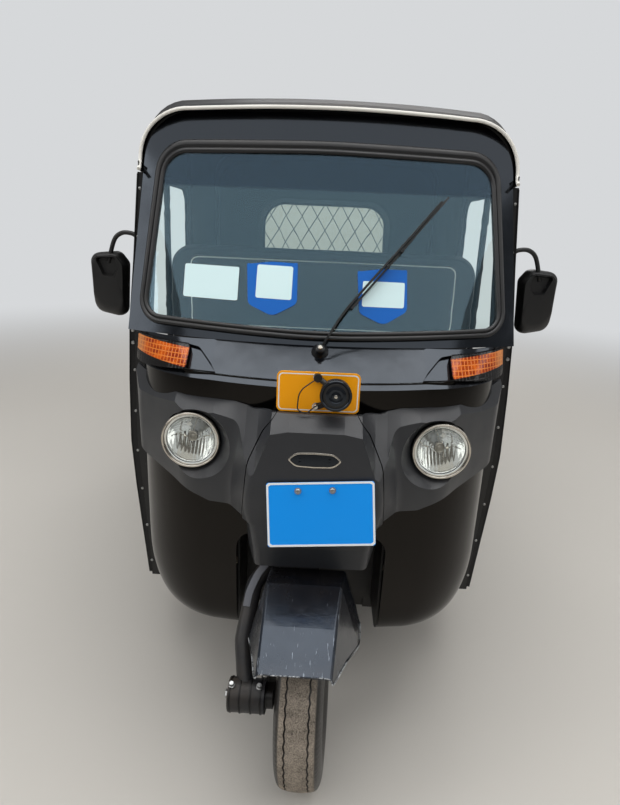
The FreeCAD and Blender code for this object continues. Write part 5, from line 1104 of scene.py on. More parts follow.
def tailTurn(rows):  # the cloth's points where it turns round the tail tube on to the back panel
    start, radius, crown = canopy["tailStart"], canopy["tailRadius"], canopyAt(2300)[1]
    verts = []
    for k in (1, 2, 3):
        angle = math.pi / 2 * k / 3
        back = start + radius * math.sin(angle)
        fall = max((crown - canopyAt(back)[1]) / 1000, 0) * 0.6
        for u, side in rows:
            spot = canopyPoint(start, u, side)
            spot -= clothOut(u, side) * radius * (1 - math.cos(angle)) / 1000
            spot.y = at(0, back, 0).y
            spot.z -= fall if u > canopy["eaveU"] else 0
            verts.append(spot)
    return verts


def fillBackPanel(verts, outer):  # rings of points and faces from the panel's outline to its window
    w, low, high = canopy["window"]
    opening = evenLoop(roundedLoop(fourCorners(-w, low, w, high, 25, 120), 10), 5.0, 240)

    def fromWindow(x, z):  # direction from the window's centre, on the window's own proportions
        return Vector((x / (w * 1.05), (z - (low + high) / 2) / 150.0)).normalized()

    targets, faces, rings = [], [], 6
    for index in outer:
        aim = fromWindow(verts[index].x * 1000, verts[index].z * 1000)
        best = max(opening, key=lambda q: fromWindow(q.x, q.y).dot(aim))
        targets.append(at(best.x, canopy["tail"], best.y))
    previous, n = outer, len(outer)
    for r in range(1, rings + 1):
        current = list(range(len(verts), len(verts) + n))
        for index, target in zip(outer, targets):
            p = verts[index].lerp(target, r / rings)
            bulge = 1.8 * wobble(p.x * 6, p.z * 7, 4.4) * math.sin(math.pi * r / rings)
            verts.append(Vector((p.x, p.y + min(bulge, 0) / 1000, p.z)))
        for k in range(n):
            j = (k + 1) % n
            faces.append((previous[k], previous[j], current[j], current[k]))
        previous = current
    return faces


def makeCanopy():
    columns, rows = canopyColumns(), canopyRows()
    verts = [canopyPoint(s, u, side) for s in columns for u, side in rows] + tailTurn(rows)
    faces = gridFaces(len(columns) + 3, len(rows))
    outer = list(range(len(verts) - len(rows), len(verts)))
    first, last, bottom = verts[outer[0]], verts[outer[-1]], 40
    for k in range(1, bottom):  # close the back panel's outline along its lower edge
        outer.append(len(verts))
        verts.append(last.lerp(first, k / bottom))
    faces += fillBackPanel(verts, outer)
    cloth = addPiece("canopyCloth", verts, faces, finish["canopy"], body=None, smooth=60)
    wall = cloth.modifiers.new("clothThickness", "SOLIDIFY")
    wall.thickness, wall.offset = canopy["cloth"] / 1000, -1.0
    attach(cloth, "body")
    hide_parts("canopy")


makeCanopy()


def canopyEdge(s, lift):  # a line over the roof from hem to hem, lift mm proud of the cloth
    half = [0.02 + 0.98 * k / 30 for k in range(30)]
    line = [(u, -1) for u in half] + [(1.0, -1)] + [(u, 1) for u in reversed(half)]
    return [canopyPoint(s, u, side, shrink=-lift) for u, side in line]


def roofOut(p):  # which way the roof faces at a point of such a line
    return Vector((p.x, 0, max(p.z - 1.25, 0.02))).normalized()


def strapOver(name, s, width, lift, material):
    line, half, narrow = canopyEdge(s, lift), width / 2000, width / 2200
    section = [(-half, -0.8e-3), (half, -0.8e-3), (half, 0.5e-3), (narrow, 1.1e-3), (-narrow, 1.1e-3),
               (-half, 0.5e-3)]
    piece = sweep(name, line, [roofOut(p) for p in line], section, material)
    return piece


def onTail(x, z, off):  # a point of the back panel, off mm behind it
    return at(x, canopy["tail"] + off, z)


def makeCanopyTrim():
    cloth = finish["canopy"]
    reach = [0.01 + 0.99 * k / 40 for k in range(41)]
    front = [(u, -1) for u in reach] + [(u, 1) for u in reversed(reach[:-1])]
    front = [canopyPoint(388, u, side, shrink=1.0) - Vector((0, 0.0015, 0)) for u, side in front]
    piping = tube("canopyPiping", front, canopy["piping"] / 1000, finish["piping"], sides=12)
    seams = [strapOver(f"seam{s}", s, canopy["seamWidth"], 0.9, cloth)
             for s in canopy["seams"]]
    for side in (-1, 1):
        line = [canopyPoint(s, canopy["eaveU"], side, shrink=-0.9) for s in range(400, 2290, 30)]
        gutter = [(-7e-3, -0.8e-3), (7e-3, -0.8e-3), (7e-3, 0.9e-3), (-7e-3, 0.9e-3)]
        seams.append(sweep("eaveSeam", line, [Vector((side, 0, 0.15))] * len(line), gutter, cloth))
        line = [canopyPoint(s, 0.0, side, shrink=-0.6) + Vector((0, 0, 0.011)) for s in range(400, 1420, 30)]
        hem = [(-10e-3, -0.8e-3), (10e-3, -0.8e-3), (10e-3, 1e-3), (-10e-3, 1e-3)]
        seams.append(sweep("hem", line, [Vector((side, 0, 0))] * len(line), hem, cloth))
    joinPieces("canopySeams", seams)
    w, low, high = canopy["window"]
    outer = fourCorners(-w - 16, low - 16, w + 16, high + 16, 38, 134)
    inner = fourCorners(-w + 3, low + 3, w - 3, high - 3, 23, 118)
    outer, inner = (evenLoop(roundedLoop(corners, 10), 5.0, 200) for corners in (outer, inner))
    border = frameStrip("rearWindowBorder", outer, inner, onTail, cloth, -0.6, 1.4)


makeCanopyTrim()
print("canopy made")


# what repeats along a line: one Geometry Nodes tree for stitches, rivets, screws and holes
def repeatTree():
    tree = bpy.data.node_groups.new("repeatAlongLine", "GeometryNodeTree")
    inputs = {"Line": "Geometry", "Spacing": "Float", "Stamp": "Object", "Finish": "Material"}
    for name, kind in inputs.items():
        tree.interface.new_socket(name, in_out="INPUT", socket_type="NodeSocket" + kind)
    tree.interface.new_socket("Pieces", in_out="OUTPUT", socket_type="NodeSocketGeometry")
    given = addNode(tree, "NodeGroupInput").outputs
    curve = addNode(tree, "GeometryNodeMeshToCurve", {}, {0: given["Line"]})
    even = addNode(tree, "GeometryNodeResampleCurve", {"mode": "LENGTH"},
                   {"Curve": curve, "Length": given["Spacing"]})
    out = addNode(tree, "GeometryNodeInputNamedAttribute", {"data_type": "FLOAT_VECTOR", "Name": "out"})
    tangent = addNode(tree, "GeometryNodeInputTangent")
    upright = addNode(tree, "FunctionNodeAlignRotationToVector", {"axis": "Z"}, {"Vector": out})
    turn = addNode(tree, "FunctionNodeAlignRotationToVector", {"axis": "X", "pivot_axis": "Z"},
                   {"Rotation": upright, "Vector": tangent})
    stamp = addNode(tree, "GeometryNodeObjectInfo", {}, {"Object": given["Stamp"]}).outputs["Geometry"]
    copies = addNode(tree, "GeometryNodeInstanceOnPoints", {},
                     {"Points": even, "Instance": stamp, "Rotation": turn})
    real = addNode(tree, "GeometryNodeRealizeInstances", {}, {0: copies})
    dressed = addNode(tree, "GeometryNodeSetMaterial", {}, {"Geometry": real, "Material": given["Finish"]})
    addNode(tree, "NodeGroupOutput", {}, {0: dressed})
    return tree


repeatAlongLine = repeatTree()
stamps = {}


def stampMesh(name, verts, faces):
    mesh = bpy.data.meshes.new(name)
    mesh.from_pydata(verts, [], faces)
    stamps[name] = putInScene(name, mesh)


def latheStamp(name, profile, sides):
    verts = [(x, y, z) for z, r in profile for x, y in ring(r, sides)]
    faces = [tuple(reversed(f)) for f in gridFaces(len(profile), sides, closeColumns=True)]
    stampMesh(name, verts, faces + [tuple(range((len(profile) - 1) * sides, len(profile) * sides))])


stampMesh("stitch", [(-1.6e-3, -0.35e-3, 0), (-1.6e-3, 0.35e-3, 0), (-0.9e-3, -0.4e-3, 0.5e-3),
                     (-0.9e-3, 0.4e-3, 0.5e-3), (0.9e-3, -0.4e-3, 0.5e-3), (0.9e-3, 0.4e-3, 0.5e-3),
                     (1.6e-3, -0.35e-3, 0), (1.6e-3, 0.35e-3, 0)], [(0, 2, 3, 1), (2, 4, 5, 3), (4, 6, 7, 5)])
latheStamp("rivet", [(-1e-3, 4.2e-3), (0.4e-3, 4.2e-3), (1.4e-3, 3.4e-3), (2.0e-3, 1.8e-3)], 12)
latheStamp("screw", [(-1e-3, 5.4e-3), (1.6e-3, 5.4e-3), (3.0e-3, 4.4e-3), (3.4e-3, 2.0e-3)], 12)
latheStamp("hole", [(0.1e-3, 4.4e-3), (0.6e-3, 4.3e-3), (0.6e-3, 3.5e-3), (-1.2e-3, 3.3e-3)], 14)


def repeatOn(name, lines, stamp, spacing, material):
    # lines: lists of (point, outward vector); copies of the stamp stand on them, spacing mm apart
    mesh = bpy.data.meshes.new(name + "Line")
    verts, edges, outs = [], [], []
    for line in lines:
        edges += [(len(verts) + k, len(verts) + k + 1) for k in range(len(line) - 1)]
        verts += [tuple(p) for p, _ in line]
        outs += [out for _, out in line]
    mesh.from_pydata(verts, edges, [])
    attribute = mesh.attributes.new("out", "FLOAT_VECTOR", "POINT")
    for i, out in enumerate(outs):
        attribute.data[i].vector = out
    source = putInScene(name + "Line", mesh)
    modifier = source.modifiers.new("repeat", "NODES")
    modifier.node_group = repeatAlongLine
    sockets = {item.name: item.identifier for item in repeatAlongLine.interface.items_tree
               if item.in_out == "INPUT"}
    modifier[sockets["Spacing"]] = spacing / 1000
    modifier[sockets["Stamp"]] = stamps[stamp]
    modifier[sockets["Finish"]] = material
    graph = bpy.context.evaluated_depsgraph_get()
    result = bpy.data.meshes.new_from_object(source.evaluated_get(graph))
    result.name = name
    piece = putInScene(name, result)
    if not result.materials:
        result.materials.append(material)
    bpy.data.objects.remove(source)
    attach(piece, "body")


def canopyStitches():
    lines = []
    for s in canopy["seams"]:
        for offset in (-6, 6):
            lines.append([(p, roofOut(p)) for p in canopyEdge(s + offset, 2.0)])
    for side in (-1, 1):
        for z in (0.004, 0.018):
            hem = [canopyPoint(s, 0.0, side, shrink=-1.5) for s in range(400, 1390, 30)]
            lines.append([(p + Vector((0, 0, z)), Vector((side, 0, 0))) for p in hem])
    w, low, high = canopy["window"]
    for grow in (1, 11):
        corners = fourCorners(-w - grow, low - grow, w + grow, high + grow, 25 + grow, 120 + grow)
        loop = evenLoop(roundedLoop(corners, 8), 8.0)
        line = [(onTail(p.x, p.y, 1.5), Vector((0, 1, 0))) for p in loop]
        lines.append(line + line[:1])
    repeatOn("canopyStitching", lines, "stitch", 5.5, finish["thread"])


canopyStitches()

pillars = {
    "front": 431.0,
    "line": [(492.0, 1452.0), (506.0, 1260.0), (521.0, 1050.0), (526.0, 700.0), (494.0, 250.0)],  # (x, z)
    "flange": [(0.0, 1452.0), (3.0, 1230.0), (9.0, 1050.0), (14.0, 880.0), (15.0, 560.0), (7.0, 250.0)],
    "rows": [  # name, offset, spread, heights, stamp, spacing and finish of what repeats down the strip
        ("pillarStuds", -8, 0.5, (1400, 290, -20), "rivet", 118.0, "steel"),
        ("pillarWashers", -4, 0.5, (1130, 980, -10), "screw", 31.0, "steel"),
        ("pillarHoles", -22, 0.0, (1410, 290, -20), "hole", 39.0, "seal"),
    ],
    "section": [(-4.0, -0.3, 0.0), (0.0, -0.3, 1.0), (1.4, 1.2, 1.0), (1.4, 12.0, 1.0), (-1.0, 12.0, 1.0),
                (-1.0, 2.4, 1.0), (-4.0, 2.4, 0.0)],  # (offset, back, spread) round the rolled flange
    "edges": (("Inner", -31.0, 0.0), ("Outer", -1.5, 1.0)),
    "edgeSection": [(-1.6e-3, -1e-3), (1.6e-3, -1e-3), (1.6e-3, 1.6e-3), (0, 2.4e-3), (-1.6e-3, 1.6e-3)],
}


def alongPillar(rows, z):  # the value that the (value, z) rows have at this height
    for (a, za), (b, zb) in zip(rows, rows[1:]):
        if z >= zb:
            return a + (b - a) * (za - z) / (za - zb)
    return rows[-1][0]


def pillarPoint(side, z, offset, back=0.0, spread=0.0):  # spread: the share of the flange's width here
    x = alongPillar(pillars["line"], z) + spread * alongPillar(pillars["flange"], z)
    return at(side * (x + offset), pillars["front"] + back, z)


def makePillarFittings():
    forward, black = Vector((0, -1, 0)), finish["strutBlack"]
    for name, offset, spread, heights, stamp, spacing, material in pillars["rows"]:
        lines = [[(pillarPoint(side, z, offset, spread=spread), forward) for z in range(*heights)]
                 for side in (-1, 1)]
        repeatOn(name, lines, stamp, spacing, finish[material])
    heights, section = range(1436, 250, -24), pillars["section"]
    n = len(section)
    for side, word in bothSides:
        verts = [pillarPoint(side, z, *spot) for z in heights for spot in section]
        faces = gridFaces(len(heights), n, closeColumns=True)
        faces += [tuple(range(n)), tuple(range(len(verts) - n, len(verts)))]
        flange = addPiece("pillarFlange" + word, verts, faces, black, smooth=30)
        for name, offset, spread in pillars["edges"]:
            line = [pillarPoint(side, z, offset, spread=spread) for z in heights]
            ups = [forward] * len(line)
            edge = sweep("pillarEdge" + name + word, line, ups, pillars["edgeSection"], black)


makePillarFittings()
print("stitches and studs made")


# tyres: worn tread with two zigzag grooves, ribbed shoulders
tyreSizes = {  # the profile is (x, radius) from the bead to the crown
    "profile": [(39.4, 102.3), (41.6, 112), (47.2, 128), (52.4, 144), (55.0, 158), (54.6, 172), (51.4, 186),
                (47.0, 195.4), (41.4, 200.6), (31, 204.4), (16, 206.8), (0, 207.4)],
    "groove": 26.0, "grooveHalf": 1.7, "grooveDepth": 4.6, "zig": 1.9, "pitch": 27.0, "radius": 207.5,
    "steps": 288, "tread": 199.0, "worn": 197.0, "wornHalf": 42.0, "wrap": 0.2,
    "halfTrack": 565.0, "wheelbase": 2000.0,
}


def tyreSection():  # (x, radius, 1 in a groove) from bead to bead
    right = [(p.x, p.y) for p in smoothPath([(x, r, 0) for x, r in tyreSizes["profile"]], 4)]
    g, h, tread = tyreSizes["groove"], tyreSizes["grooveHalf"], tyreSizes["tread"]
    rows = [(x, r, 0) for x, r in right if abs(x - g) > 4.2]
    groove = ((g + 4.0, 0), (g + h + 0.35, 0), (g + h, 1), (g - h, 1), (g - h - 0.35, 0), (g - 4.0, 0))
    for x, deep in groove:
        a, b = next((a, b) for a, b in zip(right, right[1:]) if a[1] > 195 and b[0] <= x <= a[0])
        rows.append((x, a[1] + (b[1] - a[1]) * (a[0] - x) / (a[0] - b[0]), deep))
    wall = sorted((q for q in rows if q[1] < tread), key=lambda q: q[1])
    crown = sorted((q for q in rows if q[1] >= tread), key=lambda q: -q[0])
    half = wall + crown
    return half + [(-x, r, d) for x, r, d in reversed(half[:-1])]


def treadWear(x, r, deep):  # 1 where the road scrubs the tread, 0 in the grooves and on the walls
    if deep or r < tyreSizes["worn"] or abs(x) >= tyreSizes["wornHalf"]:
        return 0.0
    return min(1.0, (tyreSizes["wornHalf"] - abs(x)) / 3.0)


def tyrePoint(k, angle, zig, x, r, deep):  # a point of the tyre round its own hub, in metres
    onTread = r > tyreSizes["tread"]
    weight = max(0.0, 1 - abs(abs(x) - tyreSizes["groove"]) / 9.0) if onTread else 0.0
    radius = r - deep * tyreSizes["grooveDepth"]
    if 42.0 < abs(x) < 53 and r > 180 and k % 3 == 0:  # ribs of the shoulder
        radius -= 1.1
    if onTread and not deep and k % 6 == 0 and 29.5 < abs(x) < 37:  # cuts across the outer tread
        radius -= 1.6
    return Vector((x + zig * weight, radius * math.cos(angle), radius * math.sin(angle))) / 1000


def wrapTyre(mesh, section):  # the tyre's own map: metres round the tread and across it
    along, columns, steps = [0.0], len(section), tyreSizes["steps"]
    for a, b in zip(section, section[1:]):
        along.append(along[-1] + math.hypot(a[0] - b[0], a[1] - b[1]))
    layer = mesh.uv_layers.new(name="wrap")
    for face in mesh.polygons:
        spots = [divmod(mesh.loops[i].vertex_index, columns) for i in face.loop_indices]
        ks = [k for k, _ in spots]
        seam = max(ks) - min(ks) > 1
        for i, (k, c) in zip(face.loop_indices, spots):
            turn = k + (steps if seam and k == 0 else 0)
            layer.data[i].uv = (turn * 2 * math.pi * tyreSizes["wrap"] / steps, along[c] / 1000)


def makeTyre(name, node, centre, body, turn):
    section, steps = tyreSection(), tyreSizes["steps"]
    zigs = round(2 * math.pi * tyreSizes["radius"] / tyreSizes["pitch"])
    verts = []
    for k in range(steps):
        angle = 2 * math.pi * k / steps
        phase = (angle * zigs / (2 * math.pi)) % 1.0
        zig = tyreSizes["zig"] * (abs(phase - 0.5) * 4 - 1)
        verts += [centre + turn @ tyrePoint(k, angle, zig, *spot) for spot in section]
    mesh = bpy.data.meshes.new(name)
    faces = gridFaces(steps, len(section), closeRows=True, closeColumns=True)
    mesh.from_pydata([tuple(v) for v in verts], [], faces)
    mark = mesh.attributes.new("worn", "FLOAT", "POINT")
    mark.data.foreach_set("value", [treadWear(*spot) for spot in section] * steps)
    wrapTyre(mesh, section)
    piece = putInScene(name, mesh)
    mesh.materials.append(finish["tyre"])
    work = bmesh.new()
    work.from_mesh(mesh)
    bmesh.ops.recalc_face_normals(work, faces=work.faces)
    work.to_mesh(mesh)
    work.free()
    mesh.shade_smooth()
    mesh.set_sharp_from_angle(angle=math.radians(38))
    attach(piece, body)
    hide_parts(node)


steering = {"rake": 24.0, "parked": -4.0}  # degrees: the head's lean, and the turn that the photo shows
rake = math.radians(steering["rake"])
steerAxis = Vector((0, math.sin(rake), math.cos(rake)))
parked = Matrix.Rotation(math.radians(steering["parked"]), 3, steerAxis)
frontHub = at(0, 0, tyreSizes["radius"])
makeTyre("frontTyreRubber", "front_tyre", frontHub, "front_wheel", parked)
for side, word in ((1, "Left"), (-1, "Right")):
    hub = at(side * tyreSizes["halfTrack"], tyreSizes["wheelbase"], tyreSizes["radius"])
    end = word.lower()
    makeTyre("rearTyreRubber" + word, "rear_tyre_" + end, hub, "rear_wheel_" + end, Matrix.Identity(3))
print("tyres made")


# seats and pads: blown up like stuffed leathercloth, then channelled and piped
pads = {
    "driver_seat": {
        "piece": "driverSeat", "low": (-255, 747, 520), "high": (255, 961, 612), "face": "up", "voxel": 7,
        "cap": 9, "shrink": 5, "inset": 17, "channels": (-85, 85), "trim": "seat", "welt": 0.0026,
                    "fill": 0.85},
    "driver_backrest": {
        "piece": "driverBackPad", "low": (-480, 956, 944), "high": (480, 1006, 1206), "face": "front",
                        "voxel": 8,
        "cap": 6, "shrink": 3, "inset": 13, "channels": (), "trim": "piping", "welt": 0.0023, "fill": 0.8},
    "passenger_cushion": {
        "piece": "passengerCushion", "low": (-586, 1490, 526), "high": (586, 1948, 642), "face": "up",
                          "voxel": 9,
        "cap": 13, "shrink": 7, "inset": 22, "channels": (-293, 0, 293), "trim": "seat", "welt": 0.0026,
                          "fill": 0.85},
    "passenger_backrest": {
        "piece": "passengerBack", "low": (-582, 1950, 622), "high": (582, 2040, 1120), "face": "front",
                           "voxel": 9,
        "cap": 12, "shrink": 6, "inset": 22, "channels": (-388, -194, 0, 194, 388), "trim": "seat",
                           "welt": 0.0026,
        "fill": 0.85},
}


def applyModifiers(piece):  # what the modifiers make becomes the piece's own mesh
    graph = bpy.context.evaluated_depsgraph_get()
    piece.data = bpy.data.meshes.new_from_object(piece.evaluated_get(graph))
    piece.modifiers.clear()


def startPad(node, size):  # the solid's own form, a little smaller, as an even skin
    mesh = nodes[node].data.copy()
    work = bmesh.new()
    work.from_mesh(mesh)
    bmesh.ops.remove_doubles(work, verts=work.verts, dist=1e-5)
    low, high = at(*size["low"]), at(*size["high"])
    middle, half = (low + high) / 2, (high - low) / 2
    for vert in work.verts:
        off = vert.co - middle
        vert.co = middle + Vector([off[i] * (half[i] - size["shrink"] / 1000) / half[i] for i in range(3)])
    work.to_mesh(mesh)
    work.free()
    piece = putInScene(size["piece"], mesh)
    skin = piece.modifiers.new("skin", "REMESH")
    skin.mode, skin.voxel_size = "VOXEL", size["voxel"] / 1000
    applyModifiers(piece)
    return piece


def blowUp(piece, size):
    start = [v.co.copy() for v in piece.data.vertices]
    slack = 0.004
    cloth = piece.modifiers.new("stuffing", "CLOTH")
    cloth.settings.use_pressure, cloth.settings.uniform_pressure_force = True, 4.0
    cloth.settings.effector_weights.gravity = 0.0
    cloth.settings.quality = 5
    for step in range(1, 21):
        bpy.context.scene.frame_set(step)
    blown = piece.evaluated_get(bpy.context.evaluated_depsgraph_get()).to_mesh()
    moved = [v.co.copy() for v in blown.vertices]
    piece.modifiers.clear()
    bpy.context.scene.frame_set(1)
    low, high, cap = at(*size["low"]), at(*size["high"]), size["cap"] / 1000
    for vert, was, now in zip(piece.data.vertices, start, moved):
        step = now - was
        if step.length > cap:
            step = step.normalized() * size["cap"] / 1000
        spot = was + step
        for axis in range(3):
            spot[axis] = min(max(spot[axis], low[axis] - slack), high[axis] + slack)
        if size["face"] == "up":
            spot.z = max(spot.z, low.z)
        else:
            spot.y = min(spot.y, high.y)
        vert.co = spot


def finishPad(piece, size):
    smoother = piece.modifiers.new("softer", "SUBSURF")
    smoother.levels = smoother.render_levels = 1
    applyModifiers(piece)
    low, high, inset, up = at(*size["low"]), at(*size["high"]), size["inset"] / 1000, size["face"] == "up"
    for vert in piece.data.vertices:  # sewn channels across the padded face
        y, z = vert.co.y, vert.co.z
        reach = (z - low.z) / (high.z - low.z) if up else (high.y - y) / (high.y - low.y)
        if reach < 0.6:
            continue
        edge = min(y - low.y, high.y - y) if up else min(z - low.z, high.z - z)
        ends = min(1.0, max(0.0, (edge - inset * 0.7) / 0.02))
        for x in size["channels"]:
            gap = abs(vert.co.x - x / 1000)
            if gap < 0.04:
                dip = 0.007 * math.exp(-(gap / 0.0075) ** 2) * ends
                vert.co += Vector((0, 0, -dip)) if up else Vector((0, dip, 0))
    piece.data.materials.clear()
    piece.data.materials.append(finish["seat"])
    piece.data.shade_smooth()


def pipePad(piece, size):  # a welt round the pad's face and a seam in each channel
    tree = BVHTree.FromObject(piece, bpy.context.evaluated_depsgraph_get())
    inset, up = size["inset"], size["face"] == "up"
    (left, front, under), (right, back, top) = size["low"], size["high"]
    low, high = (front, back) if up else (under, top)

    def onPad(u, v, lift):  # the pad's surface below a point of its face, lift metres above it
        start, toward = (at(u, v, top + 60), (0, 0, -1)) if up else (at(u, front - 60, v), (0, 1, 0))
        spot, normal, _, _ = tree.ray_cast(start, toward)
        return [spot + normal * lift] if spot else []

    corners = fourCorners(left + inset, low + inset, right - inset, high - inset, 26, 26)
    line = []
    for p in evenLoop(roundedLoop(corners, 6), 9.0):
        line += onPad(p.x, p.y, 0.0006)
    parts = [tube("welt", line, size["welt"], finish[size["trim"]], closed=True, sides=8)]
    for x in size["channels"]:
        seam = []
        for k in range(60):
            seam += onPad(x, low + inset + (high - low - 2 * inset) * k / 59, 0.0002)
        parts.append(tube("seam", seam, 0.0011, finish["thread"], sides=6))
    joinPieces(size["piece"] + "Piping", parts)


def makePads():
    for node, size in pads.items():
        piece = startPad(node, size)
        blowUp(piece, size)
        finishPad(piece, size)
        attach(piece, "body")
        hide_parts(node)
        pipePad(piece, size)
        print(size["piece"], len(piece.data.polygons), "faces")


makePads()


# steering and mudguard: worn lip that also carries a painted edge highlight, leg plate whose light grey is a
# painted highlight, pivot clamps, grips
def parkedAt(x, s, z):  # a point given for the straight wheel, on the turned one
    return frontHub + parked @ (at(x, s, z) - frontHub)


steeringTrim = {
    "lipRadius": 0.0012,
    "lip": [(-137, -37, 396), (-118, -143, 433), (-103, -240, 463), (-93, -246.5, 475), (-60, -249, 477),
            (0, -252.5, 479.5), (46, -255, 480), (57, -253, 467), (87, -156, 439), (121, -53, 404),
            (131, 52, 388)],
    "leg": [(-60, 135, 560), (-132, 58, 478), (-146, -28, 380)], "legFlat": (9.0, 2.0),
                "legLift": (-4, -17, 13),
    "pivot": (-100.0, 286.0, 38.0), "clampRings": (-160, -137, -112, -89), "clampBolts": (-156, -92),
    "pin": [(0, 14), (-3, 14), (-3.4, 12), (-3.4, 10), (-9, 10), (-10, 8.6), (-10, 0)],
    "grip": ((216, 438, 1017.1), (312, 505, 1010)), "gripRibs": 14,
}


def makeLip():
    line = smoothPath([at(*p) for p in steeringTrim["lip"]], 6)
    # the tube's pale chips are wear and partly a painted highlight along the lip
    lip = tube("guardWornLip", line, steeringTrim["lipRadius"], finish["worn"], body="steering", sides=8)


def makeLegPlate():
    a, b, c = (Vector(p) for p in steeringTrim["leg"])
    mid = [a.lerp(b, 0.35), a.lerp(b, 0.6), a.lerp(b, 0.8), b.lerp((a + c) / 2, 0.16), b.lerp(c, 0.2),
           b.lerp(c, 0.42)]
    lift = Vector(steeringTrim["legLift"])
    strip = smoothPath([parkedAt(*(p + lift)) for p in mid], 6)
    half, thick = (size / 1000 for size in steeringTrim["legFlat"])
    section = [(-half, -thick), (half, -thick), (half, thick / 1.4), (half / 1.3, thick),
               (-half / 1.3, thick), (-half, thick / 1.4)]
    ups = [parked @ Vector((-0.2, -0.78, 0.6))] * len(strip)
    # the strip is enamelled light grey to stand for the highlight on the fork leg (painted highlight)
    return sweep("legPlate", strip, ups, section, finish["legStripHighlight"], body=None)


def makeLegFittings():
    parts, steel = [makeLegPlate()], finish["steel"]
    s, z, r = steeringTrim["pivot"]
    across = parked @ Vector((1, 0, 0))
    clamp = [(-2, r), (-1.4, r + 1.6), (1.4, r + 1.6), (2, r)]
    for x in steeringTrim["clampRings"]:  # round the link's housing
        parts.append(turned("ring", clamp, parkedAt(x, s, z), across, finish["strutBlack"], body=None,
                            sides=48))
    parts.append(turned("pin", steeringTrim["pin"], parkedAt(-165, s, z), across, steel, body=None, sides=6))
    up = (parked @ Vector((0, -0.35, 0.94))).normalized()
    bolt = [(r - 2, 8), (r + 4, 8), (r + 4.6, 6.4), (r + 11, 6.2), (r + 12, 5), (r + 12, 0)]
    for x in steeringTrim["clampBolts"]:
        parts.append(turned("clampBolt", bolt, parkedAt(x, s, z), up, steel, body=None, sides=6))
    joinPieces("legFittings", parts, body="steering")


def makeGrips():
    grips, ribs = [], steeringTrim["gripRibs"]
    for side in (-1, 1):
        inner, outer = (parkedAt(side * x, s, z) for x, s, z in steeringTrim["grip"])
        axis, length = (outer - inner).normalized(), (outer - inner).length * 1000
        profile = [(-2, 0), (-2, 20), (1.5, 20), (3, 17)]
        for k in range(ribs):
            base = 6 + k * (length - 16) / ribs
            profile += [(base, 16.4), (base + 1, 17.5), (base + 4, 17.5), (base + 5, 16.4)]
        profile += [(length - 5, 18.4), (length + 0.5, 18.4), (length + 2, 16), (length + 2, 0)]
        grips.append(turned("grip", profile, inner, axis, finish["seal"], body=None, sides=24))
    joinPieces("barGrips", grips, body="steering")


makeLip()
makeLegFittings()
makeGrips()

cab = {"dial": (0.0, 219.0, 929.0), "dialOut": (0, 0.899, 0.438), "dialRadius": 41.0, "ticks": 24,
       "tick": [(-0.5e-3, 0), (0.5e-3, 0), (0.5e-3, 0.2e-3), (-0.5e-3, 0.2e-3)],
       "needle": [(-0.9e-3, 0), (0.9e-3, 0), (0.5e-3, 0.6e-3), (-0.5e-3, 0.6e-3)],
       "floor": 300.0, "mats": [(300, 470, 735), (420, 1015, 1465)], "ribPitch": 12.0}


def makeDial():
    centre, out = at(*cab["dial"]), Vector(cab["dialOut"]).normalized()
    r, side = cab["dialRadius"], Vector((1, 0, 0))
    up = out.cross(side).normalized() * -1

    def rayAt(degrees):
        return side * math.cos(math.radians(degrees)) + up * math.sin(math.radians(degrees))

    case = [(-3, r), (6, r), (8, r - 1), (8.6, r - 3), (7.6, r - 4.4), (4.0, r - 5)]
    hub = [(4, 4), (6, 4), (6.6, 3), (6.6, 0)]
    parts = [turned("case", case, centre, out, finish["chrome"], sides=64),
             turned("face", [(4.0, r - 5), (4.0, 0)], centre, out, finish["gloss"], sides=64),
             turned("hub", hub, centre, out, finish["strutBlack"], sides=20)]
    face = centre + out * 0.0042
    for k in range(cab["ticks"] + 1):
        ray = rayAt(225 - 270 * k / cab["ticks"])
        long = 6 if k % 4 == 0 else 3
        line = [face + ray * (r - 7 - long) / 1000, face + ray * (r - 7) / 1000]
        parts.append(sweep("tick", line, [out] * 2, cab["tick"], finish["white"]))
    pivot, ray = centre + out * 0.0056, rayAt(225)
    line = [pivot - ray * 0.006, pivot + ray * 0.028]
    parts.append(sweep("needle", line, [out] * 2, cab["needle"], finish["orange"]))
    joinPieces("roundDial", parts)


def makeMats():
    mats, pitch = [], cab["ribPitch"]
    for half, front, back in cab["mats"]:
        outline, s = [(front, 5.1)], front
        while s + pitch <= back:
            outline += [(s, 5.4), (s + 1.2, 8.0), (s + 4.8, 8.0), (s + 6.0, 6.3)]
            s += pitch
        outline.append((back, 5.1))
        verts = [at(x, s, cab["floor"] + h) for s, h in outline for x in (-half, half)]
        n = 2 * len(outline)
        faces = gridFaces(len(outline), 2) + [(0, 1, n - 1, n - 2), tuple(range(0, n, 2)),
                                              tuple(range(n - 1, 0, -2))]
        mats.append(addPiece("mat", verts, faces, finish["seal"]))
    joinPieces("floorMats", mats)


makeDial()
makeMats()

tail = {"lamps": (480.0, 740.0, 40.0, 100.0), "face": 2382.0, "bezel": 5.0,
        "screw": [(0.6, 4.2), (2.4, 4.2), (3.2, 3.2), (3.4, 0)]}


def onTailPanel(x, z, off):  # a point of the steel tail, off mm behind it
    return at(x, tail["face"] + off, z)


def makeTail():
    parts, bezel = [], tail["bezel"]
    x, z, w, h = tail["lamps"]
    for side in (-1, 1):
        centre = (side * x, z)
        outer = roundedFrame(w + 2.5, h + 2.5, 17, centre=centre)
        inner = roundedFrame(w - bezel, h - bezel, 12, centre=centre)
        parts.append(frameStrip("bezel", outer, inner, onTailPanel, finish["plastic"], -18.0, 2.6))
        for up in (-h + 12, h - 12):
            parts.append(turned("lensScrew", tail["screw"], onTailPanel(side * x, z + up, 0), (0, 1, 0),
                                finish["steel"], sides=14))
    joinPieces("tailLampTrim", parts)


makeTail()
print("small fittings made")

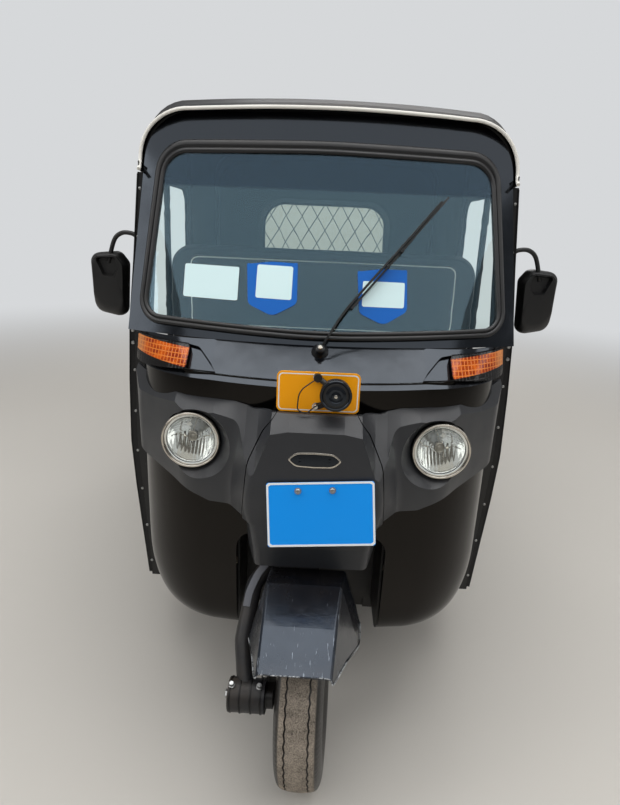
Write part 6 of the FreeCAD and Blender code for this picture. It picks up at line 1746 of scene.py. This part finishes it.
mirrorSizes = {  # (x, z, corner radius) in mm on the right-hand side
    "rim": [(545, 1052, 26), (634, 1071, 30), (640, 1228, 24), (560, 1236, 24), (536, 1205, 20)],
    "face": [(549, 1078, 24), (602, 1080, 30), (630, 1116, 34), (630, 1221, 18), (566, 1227, 16),
             (545, 1197, 18)],
    "pocket": [(572, 1168, 7), (600, 1170, 7), (622, 1218, 7), (566, 1221, 7), (559, 1192, 7)],
    "stem": [(490, 449, 1262), (506, 449, 1277), (522, 449, 1285), (548, 451, 1284), (570, 454, 1264),
             (588, 455, 1205)],
    "shell": [(480.0, 0.0), (473.0, 0.0), (464.0, 0.05), (456.0, 0.22), (449.5, 0.5), (445.0, 0.8),
              (442.2, 1.0)],
    "foot": [(0, 0), (0, 12), (3, 13), (9, 12), (15, 8.5), (20, 7.5), (20, 0)], "count": 120,
}


def mixLoops(first, second, share):
    return [a.lerp(b, share) for a, b in zip(first, second)]


def inwardLoop(loop, middle, step):  # the same line, each point moved towards the middle
    return [p + (middle - p).normalized() * step for p in loop]


def mirrorRows():  # (line, s) from the housing's lip over its back to the pocket's floor
    n = mirrorSizes["count"]
    rim, face, pocket = (evenLoop(roundedLoop(mirrorSizes[key], 8), 4.0, n)
                         for key in ("rim", "face", "pocket"))
    middle, centre = sum(rim, Vector((0, 0))) / n, sum(pocket, Vector((0, 0))) / n
    lip, deep = inwardLoop(rim, middle, 6.5), inwardLoop(face, middle, 1.0)
    floor = [p.lerp(centre, 0.16) for p in pocket]
    rows = [(lip, 475.4), (lip, 479.6)] + [(mixLoops(rim, deep, t), s) for s, t in mirrorSizes["shell"]]
    return rows + [(mixLoops(face, pocket, 0.12), 440.6), (pocket, 440.2),
                   (mixLoops(pocket, floor, 0.12), 441.4), (floor, 454.0)]


def makeMirrors():
    parts, rows, n, plastic = [], mirrorRows(), mirrorSizes["count"], finish["plastic"]
    for side in (-1, 1):
        verts = [at(side * p.x, s, p.y) for loop, s in rows for p in loop]
        faces = gridFaces(len(rows), n, closeColumns=True)
        faces += [tuple(range(n)), tuple(range(len(verts) - n, len(verts)))]
        parts.append(addPiece("housing", verts, faces, plastic, smooth=34))
        stem = smoothPath([at(side * x, s, z) for x, s, z in mirrorSizes["stem"]], 6)
        parts.append(tube("stem", stem, 0.006, plastic, sides=14))
        foot = at(side * 485, 449, 1262)
        parts.append(turned("foot", mirrorSizes["foot"], foot, (side, 0, 0), plastic, sides=24))
    whole = joinPieces("mirrorHousings", parts)
    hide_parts("mirror_housings")


makeMirrors()


for stamp in stamps.values():
    bpy.data.objects.remove(stamp)
